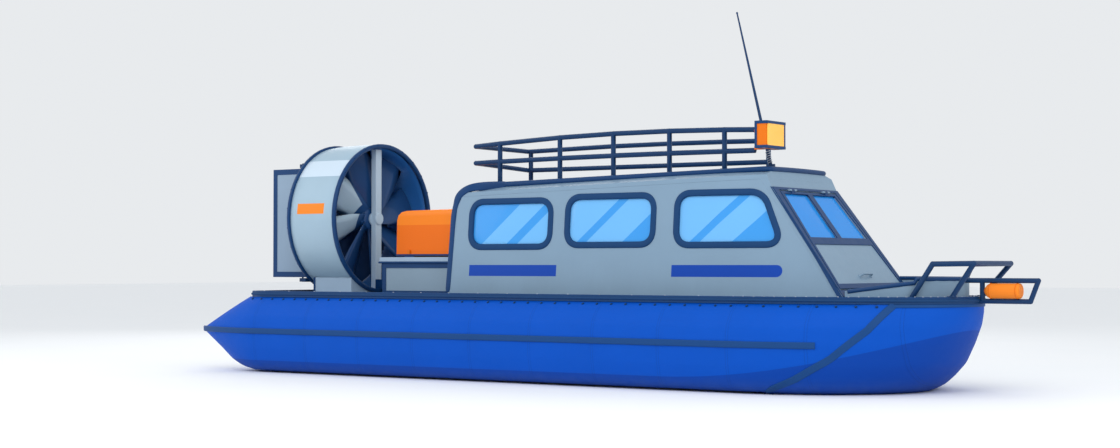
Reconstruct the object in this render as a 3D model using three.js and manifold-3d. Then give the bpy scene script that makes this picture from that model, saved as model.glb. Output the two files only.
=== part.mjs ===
// Cabin hovercraft with one ducted fan, three air rudders and a bow hatch.
// Millimetres. +X points to the bow, +Y to port, +Z up. Z = 0 is the ground under the skids.
// All stations along the hull (x) are measured from the tips of the stern cones, and the whole
// craft is moved at the end so that the origin is at the middle of its length.
import * as THREE from 'three';
import { mergeVertices } from 'three/addons/utils/BufferGeometryUtils.js';
import Module from 'manifold-3d';

const wasm = await Module();
wasm.setup();

// Driving dimensions
const GAP = 0.3; // between pieces that rest on each other
const HULL = {
  stem: 10850, // foremost point of the skirt at the deck
  shoulder: 8500, // where the plan starts to round in to the bow
  tailFull: 1300, // where the stern cones reach full width
  tailCentre: 1180, // distance of a cone's tip from the middle
  inner: 750, // inner face of the side skirts
  skirtTop: 1000,
  deckTop: 1050,
  railTop: 1080,
  skidHeight: 25,
  deckStern: 900,
};
const PLATFORM = { bottom: 350, floor: 420, wall: 55, stern: 1010 };
const WELL = { stern: 4360, bow: 9300, half: 690 };
const CABIN = {
  rearFoot: 4190,
  rearShoulder: 4280,
  roofRearX: 4605,
  roofRearZ: 2409,
  roofFrontX: 8740,
  roofFrontZ: 2528,
  browX: 8700,
  browLean: 0.44,
  screenTop: 2330,
  screenFoot: 9661,
  crown: 30,
  wall: 45,
};
const HATCH = {
  sill: 1150,
  head: 2285,
  halfSill: 874,
  halfHead: 712,
  sideGap: 10,
  topGap: 8,
  hingeX: 8762,
  hingeZ: 2292,
};
const DUCT = { x0: 1450, x1: 2210, z: 2060, bore: 957, outer: 1020 };
const FAN = { x: 1950, radius: 940, hub: 150, blades: 8, phase: 30 };
const RUDDER = { aft: 620, fore: 1300, hinge: 1170, bottom: 1258, top: 2759, thick: 28, spacing: 450 };
const BAY = { aft: 2740, fore: 4170, half: 600, top: 1450, ledge: 1530 };
const HOOD = { aft: 2830, fore: 4140, half: 430, bottom: 1545, top: 2150, wall: 25 };
const RACK = {
  aft: 4286,
  half: 580,
  radius: 31,
  posts: {
    starboard: [4672, 5601, 6396, 7197, 7953],
    port: [4320, 5635, 6486, 7287, 7906],
  },
  bars: [4672, 5601, 6396, 7197, 7920],
  fore: { starboard: 8364, port: 7932 },
  high: {
    starboard: { rear: 2949, front: 3000, arch: 55 },
    port: { rear: 2940, front: 2938, arch: 28 },
  },
  low: {
    starboard: { rear: 2735, front: 2758, arch: 15 },
    port: { rear: 2690, front: 2690, arch: 0 },
  },
  base: { low: 20, high: 50, half: 22 },
  bar: { low: 36, high: 58, half: 25 },
};

const PAINT = {
  blue: { color: 0x0050bd, roughness: 0.55, metalness: 0 },
  navy: { color: 0x14427a, roughness: 0.45, metalness: 0.1 },
  grey: { color: 0x94a8b8, roughness: 0.4, metalness: 0.1 },
  lightGrey: { color: 0xa6bac8, roughness: 0.4, metalness: 0.1 },
  orange: { color: 0xff8418, roughness: 0.4, metalness: 0 },
  amber: { color: 0xffc04a, roughness: 0.25, metalness: 0 },
  glass: { color: 0x55b4ff, roughness: 0.08, metalness: 0, transparent: true, opacity: 0.6 },
  rubber: { color: 0x1c2430, roughness: 0.85, metalness: 0 },
  cloth: { color: 0x27405f, roughness: 0.9, metalness: 0 },
  metal: { color: 0x9aa2aa, roughness: 0.35, metalness: 0.9 },
};

// Solids: closed meshes that can be joined and cut
function toSolid(geometry) {
  const bare = geometry.index ? geometry.toNonIndexed() : geometry.clone();
  bare.deleteAttribute('normal');
  bare.deleteAttribute('uv');
  const merged = mergeVertices(bare, 1e-3);
  return new wasm.Manifold(
    new wasm.Mesh({
      numProp: 3,
      vertProperties: new Float32Array(merged.attributes.position.array),
      triVerts: new Uint32Array(merged.index.array),
    }),
  );
}

function toGeometry(solid) {
  const { vertProperties, triVerts } = solid.getMesh();
  const geometry = new THREE.BufferGeometry();
  geometry.setAttribute('position', new THREE.BufferAttribute(vertProperties, 3));
  geometry.setIndex(new THREE.BufferAttribute(triVerts, 1));
  return geometry;
}

const join = (...solids) => solids.flat().reduce((all, one) => all.add(one));
const cut = (solid, ...tools) => tools.flat().reduce((left, tool) => left.subtract(tool), solid);
const keep = (...solids) => solids.flat().reduce((all, one) => all.intersect(one));

function box(x0, x1, y0, y1, z0, z1) {
  const geometry = new THREE.BoxGeometry(x1 - x0, y1 - y0, z1 - z0);
  geometry.translate((x0 + x1) / 2, (y0 + y1) / 2, (z0 + z1) / 2);
  return toSolid(geometry);
}

// An outline pushed along an axis. Its points are [y, z] for x, [x, z] for y and [x, y] for z.
const AXES = {
  x: { u: [0, 1, 0], v: [0, 0, 1], w: [1, 0, 0] },
  y: { u: [0, 0, 1], v: [1, 0, 0], w: [0, 1, 0] },
  z: { u: [1, 0, 0], v: [0, 1, 0], w: [0, 0, 1] },
};

function prism(axis, outline, low, high, hole) {
  const flat = (points) => points.map(([a, b]) => (axis === 'y' ? new THREE.Vector2(b, a) : new THREE.Vector2(a, b)));
  const shape = new THREE.Shape(flat(outline));
  if (hole) shape.holes.push(new THREE.Path(flat(hole)));
  const geometry = new THREE.ExtrudeGeometry(shape, { depth: high - low, bevelEnabled: false, steps: 1 });
  const { u, v, w } = AXES[axis];
  const frame = new THREE.Matrix4().makeBasis(
    new THREE.Vector3(...u),
    new THREE.Vector3(...v),
    new THREE.Vector3(...w),
  );
  geometry.translate(0, 0, low).applyMatrix4(frame);
  return toSolid(geometry);
}

// A skin over rings of equal point count, closed with a fan at each end
function loft(rings) {
  const count = rings[0].length;
  const positions = rings.flat(2);
  const index = [];
  rings.slice(1).forEach((_, r) => {
    for (let i = 0; i < count; i += 1) {
      const a = r * count + i;
      const b = r * count + ((i + 1) % count);
      index.push(a, b, b + count, a, b + count, a + count);
    }
  });
  [0, rings.length - 1].forEach((r) => {
    const middle = positions.length / 3;
    const sum = rings[r].reduce((s, p) => s.map((value, k) => value + p[k] / count), [0, 0, 0]);
    positions.push(...sum);
    for (let i = 0; i < count; i += 1) {
      const a = r * count + i;
      const b = r * count + ((i + 1) % count);
      if (r === 0) index.push(b, a, middle);
      else index.push(a, b, middle);
    }
  });
  const geometry = new THREE.BufferGeometry();
  geometry.setAttribute('position', new THREE.Float32BufferAttribute(positions, 3));
  geometry.setIndex(index);
  if (signedVolume(geometry) < 0) {
    const order = geometry.index.array;
    for (let i = 0; i < order.length; i += 3) [order[i], order[i + 1]] = [order[i + 1], order[i]];
  }
  return toSolid(geometry);
}

function signedVolume(geometry) {
  const p = geometry.attributes.position;
  const order = geometry.index.array;
  const [a, b, c] = [new THREE.Vector3(), new THREE.Vector3(), new THREE.Vector3()];
  let total = 0;
  for (let i = 0; i < order.length; i += 3) {
    a.fromBufferAttribute(p, order[i]);
    b.fromBufferAttribute(p, order[i + 1]);
    c.fromBufferAttribute(p, order[i + 2]);
    total += a.dot(b.cross(c)) / 6;
  }
  return total;
}

function rod(from, to, radius, sides = 8, radiusTo = radius) {
  const a = new THREE.Vector3(...from);
  const b = new THREE.Vector3(...to);
  const geometry = new THREE.CylinderGeometry(radiusTo, radius, a.distanceTo(b), sides);
  geometry.applyQuaternion(
    new THREE.Quaternion().setFromUnitVectors(new THREE.Vector3(0, 1, 0), b.clone().sub(a).normalize()),
  );
  geometry.translate(...a.add(b).multiplyScalar(0.5).toArray());
  return toSolid(geometry);
}

// Straight tubes through a row of points, with a ball at each bend that is a little fatter
const BALL = 1.06;
function pipe(points, radius, sides = 8) {
  const runs = points.slice(1).map((to, i) => rod(points[i], to, radius, sides));
  return join(
    runs,
    points.slice(1, -1).map((at) => ballAt(at, radius)),
  );
}

function ballAt(at, radius) {
  const ball = new THREE.IcosahedronGeometry(radius * BALL, 1);
  ball.translate(...at);
  return toSolid(ball);
}

// A closed profile of [x, radius] points turned about the fan's axis
function turned(profile, z, sides = 64) {
  const points = profile.map(([x, radius]) => new THREE.Vector2(radius, x));
  const geometry = new THREE.LatheGeometry([...points, points[0]], sides);
  geometry.applyMatrix4(
    new THREE.Matrix4().makeBasis(
      new THREE.Vector3(0, 0, 1),
      new THREE.Vector3(1, 0, 0),
      new THREE.Vector3(0, 1, 0),
    ),
  );
  geometry.translate(0, 0, z);
  return toSolid(geometry);
}

// A polygon whose corners are rounded by short curves
function rounded(points, radius, steps = 4) {
  return points.flatMap((corner, i) => {
    const before = points[(i + points.length - 1) % points.length];
    const after = points[(i + 1) % points.length];
    const towards = ([x, y]) => {
      const length = Math.hypot(x - corner[0], y - corner[1]);
      const reach = Math.min(radius, length / 2);
      return [corner[0] + ((x - corner[0]) * reach) / length, corner[1] + ((y - corner[1]) * reach) / length];
    };
    const [a, b] = [towards(before), towards(after)];
    return Array.from({ length: steps + 1 }, (_, k) => {
      const t = k / steps;
      return [0, 1].map((j) => (1 - t) ** 2 * a[j] + 2 * t * (1 - t) * corner[j] + t * t * b[j]);
    });
  });
}

// Moves every side of an anticlockwise polygon inwards
function inset(points, distance) {
  const count = points.length;
  const sides = points.map((p, i) => {
    const q = points[(i + 1) % count];
    const length = Math.hypot(q[0] - p[0], q[1] - p[1]);
    const normal = [-(q[1] - p[1]) / length, (q[0] - p[0]) / length];
    return { p: [p[0] + normal[0] * distance, p[1] + normal[1] * distance], d: [q[0] - p[0], q[1] - p[1]] };
  });
  return sides.map((side, i) => {
    const last = sides[(i + count - 1) % count];
    const cross = last.d[0] * side.d[1] - last.d[1] * side.d[0];
    const t = ((side.p[0] - last.p[0]) * side.d[1] - (side.p[1] - last.p[1]) * side.d[0]) / cross;
    return [last.p[0] + last.d[0] * t, last.p[1] + last.d[1] * t];
  });
}

const mirrored = (solid) => solid.mirror([0, 1, 0]);
const craft = new THREE.Group();

function piece(name, solid, paint) {
  const mesh = new THREE.Mesh(toGeometry(solid), new THREE.MeshStandardMaterial({ ...paint, flatShading: true }));
  mesh.name = name;
  craft.add(mesh);
}

// Skirts: each level gives the half beam, the tail's tip and the stem at one height
const LEVELS = [
  { z: 25, beam: 1400, tail: 1000, stem: 10250 },
  { z: 60, beam: 1490, tail: 790, stem: 10330 },
  { z: 160, beam: 1550, tail: 575, stem: 10450 },
  { z: 320, beam: 1585, tail: 350, stem: 10600 },
  { z: 553, beam: 1600, tail: 0, stem: 10715 },
  { z: 760, beam: 1570, tail: 400, stem: 10800 },
  { z: 900, beam: 1480, tail: 690, stem: 10835 },
  { z: 1000, beam: 1365, tail: 895, stem: 10850 },
];
const SEAM = [
  [8760, -40],
  [9290, 170],
  [9680, 400],
  [10055, 725],
  [10258, 1000],
  [10320, 1100],
];
const BOW_STEPS = 12;
const TAIL_STEPS = 6;
const quarter = (steps) => Array.from({ length: steps + 1 }, (_, k) => (k / steps) * (Math.PI / 2));

// Half outline of the bow, from the shoulder to the stem, on the starboard side
const bowCurve = (beam, stem) =>
  quarter(BOW_STEPS).map((t) => [HULL.shoulder + (stem - HULL.shoulder) * Math.sin(t), -beam * Math.cos(t)]);

// Outline of one side skirt with its pointed tail
function sideOutline({ beam, tail }) {
  const reach = HULL.tailFull - tail;
  const outer = quarter(TAIL_STEPS).map((t) => [
    HULL.tailFull - reach * Math.cos(t) ** 1.35,
    -HULL.tailCentre - (beam - HULL.tailCentre) * Math.sin(t) ** 1.35,
  ]);
  const innerSide = quarter(TAIL_STEPS)
    .slice(1)
    .reverse()
    .map((t) => [
      HULL.tailFull - reach * Math.cos(t) ** 1.35,
      -HULL.tailCentre + (HULL.tailCentre - HULL.inner) * Math.sin(t) ** 1.35,
    ]);
  return { outer, innerSide };
}

const sideLoft = loft(
  LEVELS.map((level) => {
    const { outer, innerSide } = sideOutline(level);
    const bow = bowCurve(level.beam, level.stem).slice(0, -1);
    const edge = [...outer, ...bow, [level.stem - 40, -HULL.inner + 400], [level.stem - 300, -HULL.inner], ...innerSide];
    return edge.map(([x, y]) => [x, y, level.z]);
  }),
);
const BOW_SOLE = { z: 4, beam: 1350, stem: 10190 };
const bowLoft = loft(
  [BOW_SOLE, ...LEVELS].map((level) => {
    const half = bowCurve(level.beam, level.stem);
    const other = half
      .slice(0, -1)
      .reverse()
      .map(([x, y]) => [x, -y]);
    return [...half, ...other].map(([x, y]) => [x, y, level.z]);
  }),
);
const aftOfSeam = prism('y', [...SEAM.map(([x, z]) => [x - GAP, z]), [-200, 1100], [-200, -40]], -2000, 2000);
const foreOfSeam = prism('y', [...SEAM, [11200, 1100], [11200, -40]], -2000, 2000);
const outboard = box(-100, 11000, -2000, -HULL.inner, -10, 1100);

function strake() {
  const path = quarter(4).map((t) => t / (Math.PI / 2));
  const half = (x) => {
    const u = Math.max(0, (x - HULL.shoulder) / (10715 - HULL.shoulder));
    return 1600 * Math.sqrt(1 - u * u);
  };
  const stations = [760, 1300, HULL.shoulder, ...path.slice(1).map((f) => HULL.shoulder + f * 1100)];
  const offset = (x) => (x < HULL.tailFull ? 1600 - (HULL.tailFull - x) * 0.16 : half(x));
  return loft(
    stations.map((x) => {
      const y = -offset(x);
      return [
        [x, y + 60, 528],
        [x, y - 18, 533],
        [x, y - 18, 573],
        [x, y + 60, 578],
      ];
    }),
  );
}
const sideSkirt = join(keep(sideLoft, aftOfSeam, outboard), strake());
piece('skirt_starboard', sideSkirt, PAINT.blue);
piece('skirt_port', mirrored(sideSkirt), PAINT.blue);
piece('skirt_bow', keep(bowLoft, foreOfSeam), PAINT.blue);

const sternBag = rounded(
  [
    [720, 60],
    [1000, 40],
    [1000, 640],
    [820, 640],
  ],
  110,
);
piece('skirt_stern', prism('y', sternBag, -HULL.inner + GAP, HULL.inner - GAP), PAINT.blue);

const skid = prism(
  'z',
  rounded(
    [
      [1350, -1290],
      [8700, -1290],
      [8700, -1130],
      [1350, -1130],
    ],
    70,
  ),
  0,
  HULL.skidHeight - GAP,
);
piece('wear_skid_starboard', skid, PAINT.rubber);
piece('wear_skid_port', mirrored(skid), PAINT.rubber);

// Platform, deck and gunwale
const RAIL_LEDGE = 12;
function deckOutline(offset) {
  const beam = 1365 + offset;
  const bow = bowCurve(beam, HULL.stem + offset);
  const starboard = [
    [HULL.deckStern - offset, -HULL.tailCentre + 60],
    [HULL.deckStern + 150, -1300 - offset],
    [HULL.tailFull, -beam],
    ...bow,
  ];
  const port = starboard
    .slice(0, -1)
    .reverse()
    .map(([x, y]) => [x, -y]);
  return [...starboard, ...port];
}
const ductHole = rod([DUCT.x0 - 60, 0, DUCT.z], [DUCT.x1 + 120, 0, DUCT.z], DUCT.outer + 12, 64);
const platformSide = [
  [PLATFORM.stern, PLATFORM.bottom],
  ...SEAM.filter(([, z]) => z > PLATFORM.bottom && z < 1050).map(([x, z]) => [x - 2 * GAP, Math.min(z, 1000 - GAP)]),
  [PLATFORM.stern, HULL.skirtTop - GAP],
];
const platform = cut(
  prism('y', platformSide, -HULL.inner + GAP, HULL.inner - GAP),
  box(WELL.stern, WELL.bow, -WELL.half, WELL.half, PLATFORM.floor, 1200),
  ductHole,
);
piece('hull_platform', platform, PAINT.grey);
const wellOutline = [
  [WELL.stern, -WELL.half],
  [WELL.bow, -WELL.half],
  [WELL.bow, WELL.half],
  [WELL.stern, WELL.half],
];
const deck = prism('z', deckOutline(-55 - GAP), HULL.skirtTop + GAP, HULL.deckTop, wellOutline);
const CLEAT = { aft: 3050, fore: 3350, y: 950, half: 60, height: 8 };
const cleatPads = [-1, 1].map((side) =>
  box(
    CLEAT.aft,
    CLEAT.fore,
    side * CLEAT.y - CLEAT.half,
    side * CLEAT.y + CLEAT.half,
    HULL.deckTop - 5,
    HULL.deckTop + CLEAT.height,
  ),
);
piece('deck', join(cut(deck, ductHole), cleatPads), PAINT.lightGrey);
piece(
  'gunwale_rail',
  prism('z', deckOutline(RAIL_LEDGE), HULL.skirtTop + GAP, HULL.railTop, deckOutline(-55)),
  PAINT.navy,
);

// Cabin: one shell, split where the panels meet
const roofLine = (x) =>
  CABIN.roofRearZ +
  ((CABIN.roofFrontZ - CABIN.roofRearZ) * (x - CABIN.roofRearX)) / (CABIN.roofFrontX - CABIN.roofRearX);
const STATIONS = [
  { x: 4000, foot: 1060, eave: 945 },
  { x: 7400, foot: 1060, eave: 945 },
  { x: 8100, foot: 1040, eave: 910 },
  { x: 8750, foot: 1000, eave: 815 },
  { x: 9900, foot: 905, eave: 640 },
];
const EAVE_STEPS = 5;

function cabinBody(depth) {
  const sections = STATIONS.map(({ x, foot, eave }) => {
    const top = roofLine(x) - depth;
    const lean = (foot - eave) / (2350 - HULL.deckTop);
    const half = (z) => foot - depth - lean * (z - HULL.deckTop);
    const side = [
      [-half(700), 700],
      [-half(top - 60), top - 60],
    ];
    const crown = Array.from({ length: EAVE_STEPS }, (_, k) => {
      const t = (k + 1) / EAVE_STEPS;
      const y = -half(top - 60) * (1 - t) ** 1.5;
      return [y, top - 60 + (60 + CABIN.crown) * Math.sqrt(1 - (1 - t) ** 4)];
    });
    const starboard = [...side, ...crown];
    const port = starboard
      .slice(0, -1)
      .reverse()
      .map(([y, z]) => [-y, z]);
    return [...starboard, ...port].map(([y, z]) => [x, y, z]);
  });
  const slope = (CABIN.screenFoot - CABIN.browX) / (CABIN.screenTop - HULL.deckTop);
  const silhouette = inset(
    [
      [CABIN.rearFoot - 28, 700],
      [CABIN.screenFoot + slope * 350, 700],
      [CABIN.browX, CABIN.screenTop],
      [CABIN.browX - CABIN.browLean * (2760 - CABIN.screenTop), 2760],
      [4640, 2760],
      [4560, 2440],
      [4440, 2380],
      [4350, 2300],
      [CABIN.rearShoulder, 2160],
    ],
    depth,
  );
  return keep(loft(sections), prism('y', silhouette, -1500, 1500));
}
const aboveDeck = box(3900, 10000, -1500, 1500, HULL.deckTop + GAP, 3000);
const shell = keep(cut(cabinBody(0), cabinBody(CABIN.wall)), aboveDeck);

const ROOF_DROP = 110;
const splitLine = (shift) => [
  [3900, roofLine(3900) - ROOF_DROP + shift],
  [9900, roofLine(9900) - ROOF_DROP + shift],
];
const roofRegion = (shift) => prism('y', [...splitLine(shift), [9900, 3100], [3900, 3100]], -1500, 1500);
const PILLAR = 75;
const frontRegion = (shift) => {
  const slope = (CABIN.screenFoot - CABIN.browX) / (CABIN.screenTop - HULL.deckTop);
  const foot = CABIN.screenFoot - PILLAR + shift;
  return prism(
    'y',
    [
      [foot, HULL.deckTop],
      [10400, HULL.deckTop],
      [10400, 2900],
      [foot - slope * (2900 - HULL.deckTop), 2900],
    ],
    -1500,
    1500,
  );
};
const rearRegion = (shift) => box(3900, 4420, -880 - shift, 880 + shift, 900, 3000);

// Side windows: corners as [x, z], clockwise from the lower rear one
const WINDOWS = [
  { name: 'rear', corners: [[4550, 1684], [4550, 2190], [5708, 2190], [5708, 1684]] },
  { name: 'middle', corners: [[6020, 1700], [6020, 2221], [7188, 2221], [7188, 1700]] },
  { name: 'front', corners: [[7565, 1692], [7565, 2235], [8590, 2235], [8830, 1692]] },
];
const windowHole = (corners, shrink) => {
  const ring = inset([...corners].reverse(), shrink);
  return prism('y', rounded(ring, 150 - shrink), -1500, -400);
};
const sides = cut(shell, roofRegion(-GAP), frontRegion(-GAP), rearRegion(GAP));
const starboardSide = cut(
  keep(sides, box(3900, 10000, -1500, -100, 1000, 3000)),
  WINDOWS.map(({ corners }) => windowHole(corners, 0)),
);
piece('cabin_side_starboard', starboardSide, PAINT.grey);
piece('cabin_side_port', mirrored(starboardSide), PAINT.grey);
const paneLayer = cut(cabinBody(14), cabinBody(24));
WINDOWS.forEach(({ name, corners }) => {
  const pane = keep(paneLayer, windowHole(corners, 0.4));
  piece(`side_glass_${name}_starboard`, pane, PAINT.glass);
  piece(`side_glass_${name}_port`, mirrored(pane), PAINT.glass);
});
piece('cabin_roof', keep(shell, roofRegion(0)), PAINT.grey);
const rearWall = cut(keep(shell, rearRegion(0)), roofRegion(-GAP));
piece('cabin_rear_wall', rearWall, PAINT.grey);

// Front frame and the bow hatch in it
const hatchOutline = (grow) => {
  const side = (z) =>
    HATCH.halfSill + ((HATCH.halfHead - HATCH.halfSill) * (z - HATCH.sill)) / (HATCH.head - HATCH.sill) + grow.side;
  const [low, high] = [HATCH.sill - grow.bottom, HATCH.head + grow.top];
  return [
    [-side(low), low],
    [side(low), low],
    [side(high), high],
    [-side(high), high],
  ];
};
const front = cut(keep(shell, frontRegion(0)), roofRegion(-GAP));
const hatchHole = prism('x', hatchOutline({ side: 0, bottom: 0, top: 0 }), 8300, 10000);
const HINGES = [-420, 420];
const hingeAt = (y0, y1) => rod([HATCH.hingeX, y0, HATCH.hingeZ], [HATCH.hingeX, y1, HATCH.hingeZ], 13, 12);
const frameHinges = HINGES.flatMap((y) => [
  hingeAt(y - 90, y - 32),
  hingeAt(y + 32, y + 90),
  box(8690, HATCH.hingeX, y - 90, y - 32, HATCH.head + 3, HATCH.head + 13),
  box(8690, HATCH.hingeX, y + 32, y + 90, HATCH.head + 3, HATCH.head + 13),
]);
piece('cabin_front_frame', join(cut(front, hatchHole), frameHinges), PAINT.grey);

const HATCH_PANES = [
  { name: 'starboard', mirror: false },
  { name: 'port', mirror: true },
];
const paneOutline = (shrink) => {
  const side = (z) =>
    HATCH.halfSill + ((HATCH.halfHead - HATCH.halfSill) * (z - HATCH.sill)) / (HATCH.head - HATCH.sill) - 75;
  const ring = [
    [-side(1735), 1735],
    [-38, 1735],
    [-38, 2248],
    [-side(2248), 2248],
  ];
  return rounded(inset(ring, shrink), 35, 3);
};
const starboardPaneHole = prism('x', paneOutline(0), 8300, 10000);
const hatchBlank = prism('x', hatchOutline({ side: -HATCH.sideGap, bottom: -8, top: -HATCH.topGap }), 8300, 10000);
const hatchHinges = HINGES.flatMap((y) => [
  hingeAt(y - 28, y + 28),
  box(HATCH.hingeX - 20, HATCH.hingeX + 10, y - 28, y + 28, HATCH.head - 35, HATCH.hingeZ),
]);
const hatch = join(
  cut(keep(front, hatchBlank), starboardPaneHole, mirrored(starboardPaneHole)),
  hatchHinges,
);
piece('bow_hatch', hatch, PAINT.grey);
HATCH_PANES.forEach(({ name, mirror }) => {
  const pane = keep(paneLayer, prism('x', paneOutline(0.4), 8300, 10000));
  piece(`hatch_glass_${name}`, mirror ? mirrored(pane) : pane, PAINT.glass);
});

// Foredeck locker: its top ramps up from the hatch, with a step well sunk into it
const LOCKER = {
  beam: 1075,
  stem: 10700,
  heel: 1131, // top at the hatch
  rampEnd: 10330,
  rampTop: 1240,
  lipStart: 10360,
  top: 1284,
  wall: 60,
  stepFloor: 1115,
  stepFore: 10500,
};
const lockerPlan = (inwards, aft, fore) => {
  const starboard = bowCurve(LOCKER.beam - inwards, LOCKER.stem - inwards);
  const port = starboard
    .slice(0, -1)
    .reverse()
    .map(([x, y]) => [x, -y]);
  return keep(
    prism('z', [...starboard, ...port], HULL.deckTop + GAP, 1400),
    box(aft, fore, -1300, 1300, 1000, 1400),
  );
};
const locker = keep(
  lockerPlan(0, CABIN.screenFoot + 2 * GAP, 11000),
  prism(
    'y',
    [
      [9600, 1000],
      [10800, 1000],
      [10800, LOCKER.top],
      [LOCKER.lipStart, LOCKER.top],
      [LOCKER.rampEnd, LOCKER.rampTop],
      [9600, LOCKER.heel],
    ],
    -1300,
    1300,
  ),
);
const stepWell = keep(
  lockerPlan(LOCKER.wall, 9500, LOCKER.stepFore),
  box(9500, 11000, -1300, 1300, LOCKER.stepFloor, 1400),
);
piece('foredeck_locker', cut(locker, stepWell), PAINT.grey);

// Bow loop: one tube in the middle plane, from the locker's front round to the gunwale
const LOOP = { radius: 28, low: 1030, high: 1258, hook: 10893, tipHigh: 11535, tipLow: 11445 };
const loopRun = pipe(
  [
    [LOCKER.stem + GAP, 0, LOOP.high],
    [LOOP.tipHigh, 0, LOOP.high],
    [LOOP.tipLow, 0, LOOP.low],
    [HULL.stem + RAIL_LEDGE + GAP, 0, LOOP.low],
  ],
  LOOP.radius,
  12,
);
piece('bow_loop', join(loopRun, rod([LOOP.hook, 0, LOOP.low], [LOOP.hook, 0, LOOP.high], LOOP.radius, 12)), PAINT.navy);

// Bow handrail: on each side one post on the deck and one on the gunwale, and a tube round their heads
const RAIL = {
  radius: 30,
  aft: { foot: [10318, 640, HULL.deckTop - 10], head: [10550, 560, 1440] },
  fore: { foot: [10712, 425, HULL.railTop - 10], head: [11014, 532, 1446] },
};
const onSide = ([x, y, z], sign) => [x, y * sign, z];
const railTube = pipe(
  [
    onSide(RAIL.aft.foot, -1),
    onSide(RAIL.aft.head, -1),
    onSide(RAIL.fore.head, -1),
    onSide(RAIL.fore.head, 1),
    onSide(RAIL.aft.head, 1),
    onSide(RAIL.aft.foot, 1),
  ],
  RAIL.radius,
);
const railPosts = [-1, 1].map((sign) => rod(onSide(RAIL.fore.foot, sign), onSide(RAIL.fore.head, sign), RAIL.radius));
const railSpace = join(
  box(9000, 12000, -1500, 1500, HULL.railTop + GAP, 2000),
  box(9000, 10450, -1500, 1500, HULL.deckTop + GAP, 2000),
);
piece('bow_rail', keep(join(railTube, railPosts), railSpace), PAINT.navy);

const FENDER = { radius: 85, aft: 10928, fore: 11341 };
const fenderZ = LOOP.low + LOOP.radius + FENDER.radius + 0.5;
const fender = turned(
  [
    [FENDER.aft, 0],
    [FENDER.aft + 4, 40],
    [FENDER.aft + 30, 70],
    [FENDER.aft + 62, FENDER.radius],
    [FENDER.fore - 12, FENDER.radius],
    [FENDER.fore, FENDER.radius - 10],
    [FENDER.fore, 0],
  ],
  fenderZ,
  24,
);
piece('bow_fender', fender, PAINT.orange);

// Ducted fan
const DUCT_SECTION = [
  [DUCT.x0, DUCT.bore + 12],
  [DUCT.x0, DUCT.outer - 22],
  [DUCT.x0 + 190, DUCT.outer - 6],
  [DUCT.x1 - 190, DUCT.outer],
  [DUCT.x1, DUCT.outer - 6],
  [DUCT.x1, DUCT.bore + 18],
  [DUCT.x1 - 90, DUCT.bore],
  [DUCT.x0 + 120, DUCT.bore],
];
piece('fan_duct', turned(DUCT_SECTION, DUCT.z), PAINT.lightGrey);
const ringSection = (x, width) => [
  [x, DUCT.bore + 8],
  [x, DUCT.outer + 2],
  [x + width * 0.3, DUCT.outer + 8],
  [x + width * 0.8, DUCT.outer + 4],
  [x + width, DUCT.outer - 24],
  [x + width * 0.7, DUCT.bore + 12],
];
const RING = 55;
piece('duct_front_ring', turned(ringSection(DUCT.x1 + GAP, RING), DUCT.z), PAINT.navy);
piece(
  'duct_rear_ring',
  turned(
    ringSection(0, RING).map(([x, radius]) => [DUCT.x0 - GAP - x, radius]).reverse(),
    DUCT.z,
  ),
  PAINT.navy,
);

const PYLON = { aft: 2075, fore: 2160, half: 60 };
const SHAFT = 34;
const boreSpace = turned(
  [
    [PYLON.aft - 60, 0],
    [PYLON.aft - 60, DUCT.bore - GAP],
    [PYLON.fore + 20, DUCT.bore - GAP],
    [PYLON.fore + 20, 0],
  ],
  DUCT.z,
);
const pylonPost = keep(box(PYLON.aft, PYLON.fore, -PYLON.half, PYLON.half, 1000, 3100), boreSpace);
const pylon = cut(pylonPost, rod([PYLON.aft - 10, 0, DUCT.z], [PYLON.fore - 15, 0, DUCT.z], SHAFT + 1.5, 24));
piece('fan_pylon', pylon, PAINT.grey);

// Each blade widens and flattens from the hub to the tip
const BLADE_SECTIONS = [
  { r: 110, chord: 240, pitch: 42, thick: 36 },
  { r: 420, chord: 380, pitch: 28, thick: 28 },
  { r: 720, chord: 450, pitch: 21, thick: 20 },
  { r: FAN.radius, chord: 470, pitch: 16, thick: 12 },
];
function blade(turn) {
  const rings = BLADE_SECTIONS.map(({ r, chord, pitch, thick }) => {
    const a = THREE.MathUtils.degToRad(-pitch);
    const outline = [
      [-chord / 2, 0],
      [-chord / 4, thick / 2],
      [chord / 4, thick / 2],
      [chord / 2, 0],
      [chord / 4, -thick / 2],
      [-chord / 4, -thick / 2],
    ];
    return outline.map(([along, up]) => {
      const x = along * Math.sin(a) + up * Math.cos(a);
      const side = along * Math.cos(a) - up * Math.sin(a);
      const reach = Math.sqrt(Math.max(r * r - side * side, 0));
      const c = Math.cos(turn);
      const s = Math.sin(turn);
      return [FAN.x + x, reach * c - side * s, DUCT.z + reach * s + side * c];
    });
  });
  return loft(rings);
}
const fan = join(
  turned(
    [
      [FAN.x - 150, 0],
      [FAN.x - 140, 60],
      [FAN.x - 90, 120],
      [FAN.x - 20, FAN.hub],
      [FAN.x + 85, FAN.hub],
      [FAN.x + 100, 120],
      [FAN.x + 100, 0],
    ],
    DUCT.z,
    32,
  ),
  rod([FAN.x + 80, 0, DUCT.z], [PYLON.fore - 20, 0, DUCT.z], SHAFT, 24),
  Array.from({ length: FAN.blades }, (_, k) =>
    blade(Math.PI + THREE.MathUtils.degToRad((k * 360) / FAN.blades - FAN.phase)),
  ),
);
piece('fan_rotor', fan, PAINT.lightGrey);

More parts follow.
